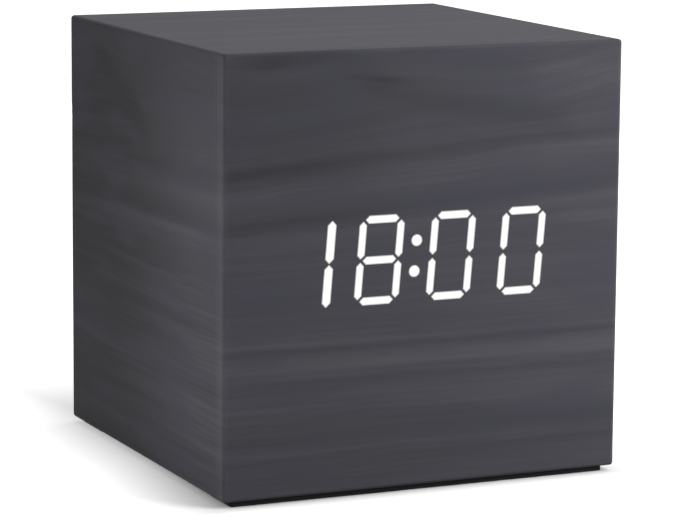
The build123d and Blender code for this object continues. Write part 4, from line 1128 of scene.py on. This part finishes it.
class CLOCK_OT_set_stage(bpy.types.Operator):
    """Sets the floor, the lamps, the world and the camera"""

    bl_idname = "clock.set_stage"
    bl_label = "Set the stage"

    def execute(self, context):
        stage = context.scene.clock_stage
        scene = context.scene
        start_clean()
        bpy.ops.mesh.primitive_plane_add(size=FLOOR_SIZE, location=(0, 0, CAD_BOX[0][2] - FLOOR_DROP))
        floor = context.object
        floor.name = "floor"
        floor.data.materials.append(floor_material(stage))

        for name, (width, place, aim) in LAMPS.items():
            lamp(name, getattr(stage, name), width, place, aim)

        world = bpy.data.worlds.new("studio")
        scene.world = world
        world.use_nodes = True
        tree = world.node_tree
        ground = tree.nodes["Background"]
        ground.inputs["Color"].default_value = (1.0, 1.0, 1.0, 1.0)
        level = tree.nodes.new("ShaderNodeMapRange")
        level.inputs["To Min"].default_value = stage.world_light
        level.inputs["To Max"].default_value = 1.0
        tree.links.new(seen_rays(tree), level.inputs["Value"])
        tree.links.new(level.outputs[0], ground.inputs["Strength"])

        data = bpy.data.cameras.new("camera")
        data.sensor_width = 36.0
        data.lens = stage.focal_length
        data.clip_start = 0.01
        data.clip_end = 50.0
        camera = bpy.data.objects.new("camera", data)
        scene.collection.objects.link(camera)
        flat = math.cos(stage.elevation)
        back = Vector(
            (math.sin(stage.azimuth) * flat, -math.cos(stage.azimuth) * flat, math.sin(stage.elevation))
        )
        turn = (-back).to_track_quat("-Z", "Y").to_matrix().to_4x4()
        place = Matrix.Translation(Vector(stage.aim) + back * stage.distance)
        camera.matrix_world = place @ turn @ Matrix.Rotation(stage.roll, 4, "Z")
        scene.camera = camera
        scene.view_settings.view_transform = "Standard"
        return {"FINISHED"}


# Panel and registration

class CLOCK_PT_looks(bpy.types.Panel):
    """Buttons for the clock's looks, in the order in which they run"""

    bl_idname = "CLOCK_PT_looks"
    bl_label = "Desk clock"
    bl_space_type = "VIEW_3D"
    bl_region_type = "UI"
    bl_category = "Desk clock"

    def draw(self, context):
        for operator in OPERATORS:
            self.layout.operator(operator.bl_idname)


GROUPS = {"clock_colours": ClockColours, "clock_sizes": ClockSizes, "clock_stage": ClockStage}
OPERATORS = (
    CLOCK_OT_dress_box,
    CLOCK_OT_model_lit_bars,
    CLOCK_OT_dress_electronics,
    CLOCK_OT_dress_rear,
    CLOCK_OT_model_screws,
    CLOCK_OT_model_wires,
    CLOCK_OT_set_stage,
)
CLASSES = (*GROUPS.values(), *OPERATORS, CLOCK_PT_looks)


def register():
    """Makes the clock's properties, operators and panel known."""
    for group in CLASSES:
        bpy.utils.register_class(group)
    for name, group in GROUPS.items():
        setattr(bpy.types.Scene, name, PointerProperty(type=group))


def unregister():
    """Takes them away again."""
    for name in GROUPS:
        delattr(bpy.types.Scene, name)
    for group in reversed(CLASSES):
        bpy.utils.unregister_class(group)


def main():
    """Runs every operator in order."""
    register()
    bpy.ops.clock.dress_box()
    bpy.ops.clock.model_lit_bars()
    bpy.ops.clock.dress_electronics()
    bpy.ops.clock.dress_rear()
    bpy.ops.clock.model_screws()
    bpy.ops.clock.model_wires()
    bpy.ops.clock.set_stage()


if __name__ == "__main__":
    main()
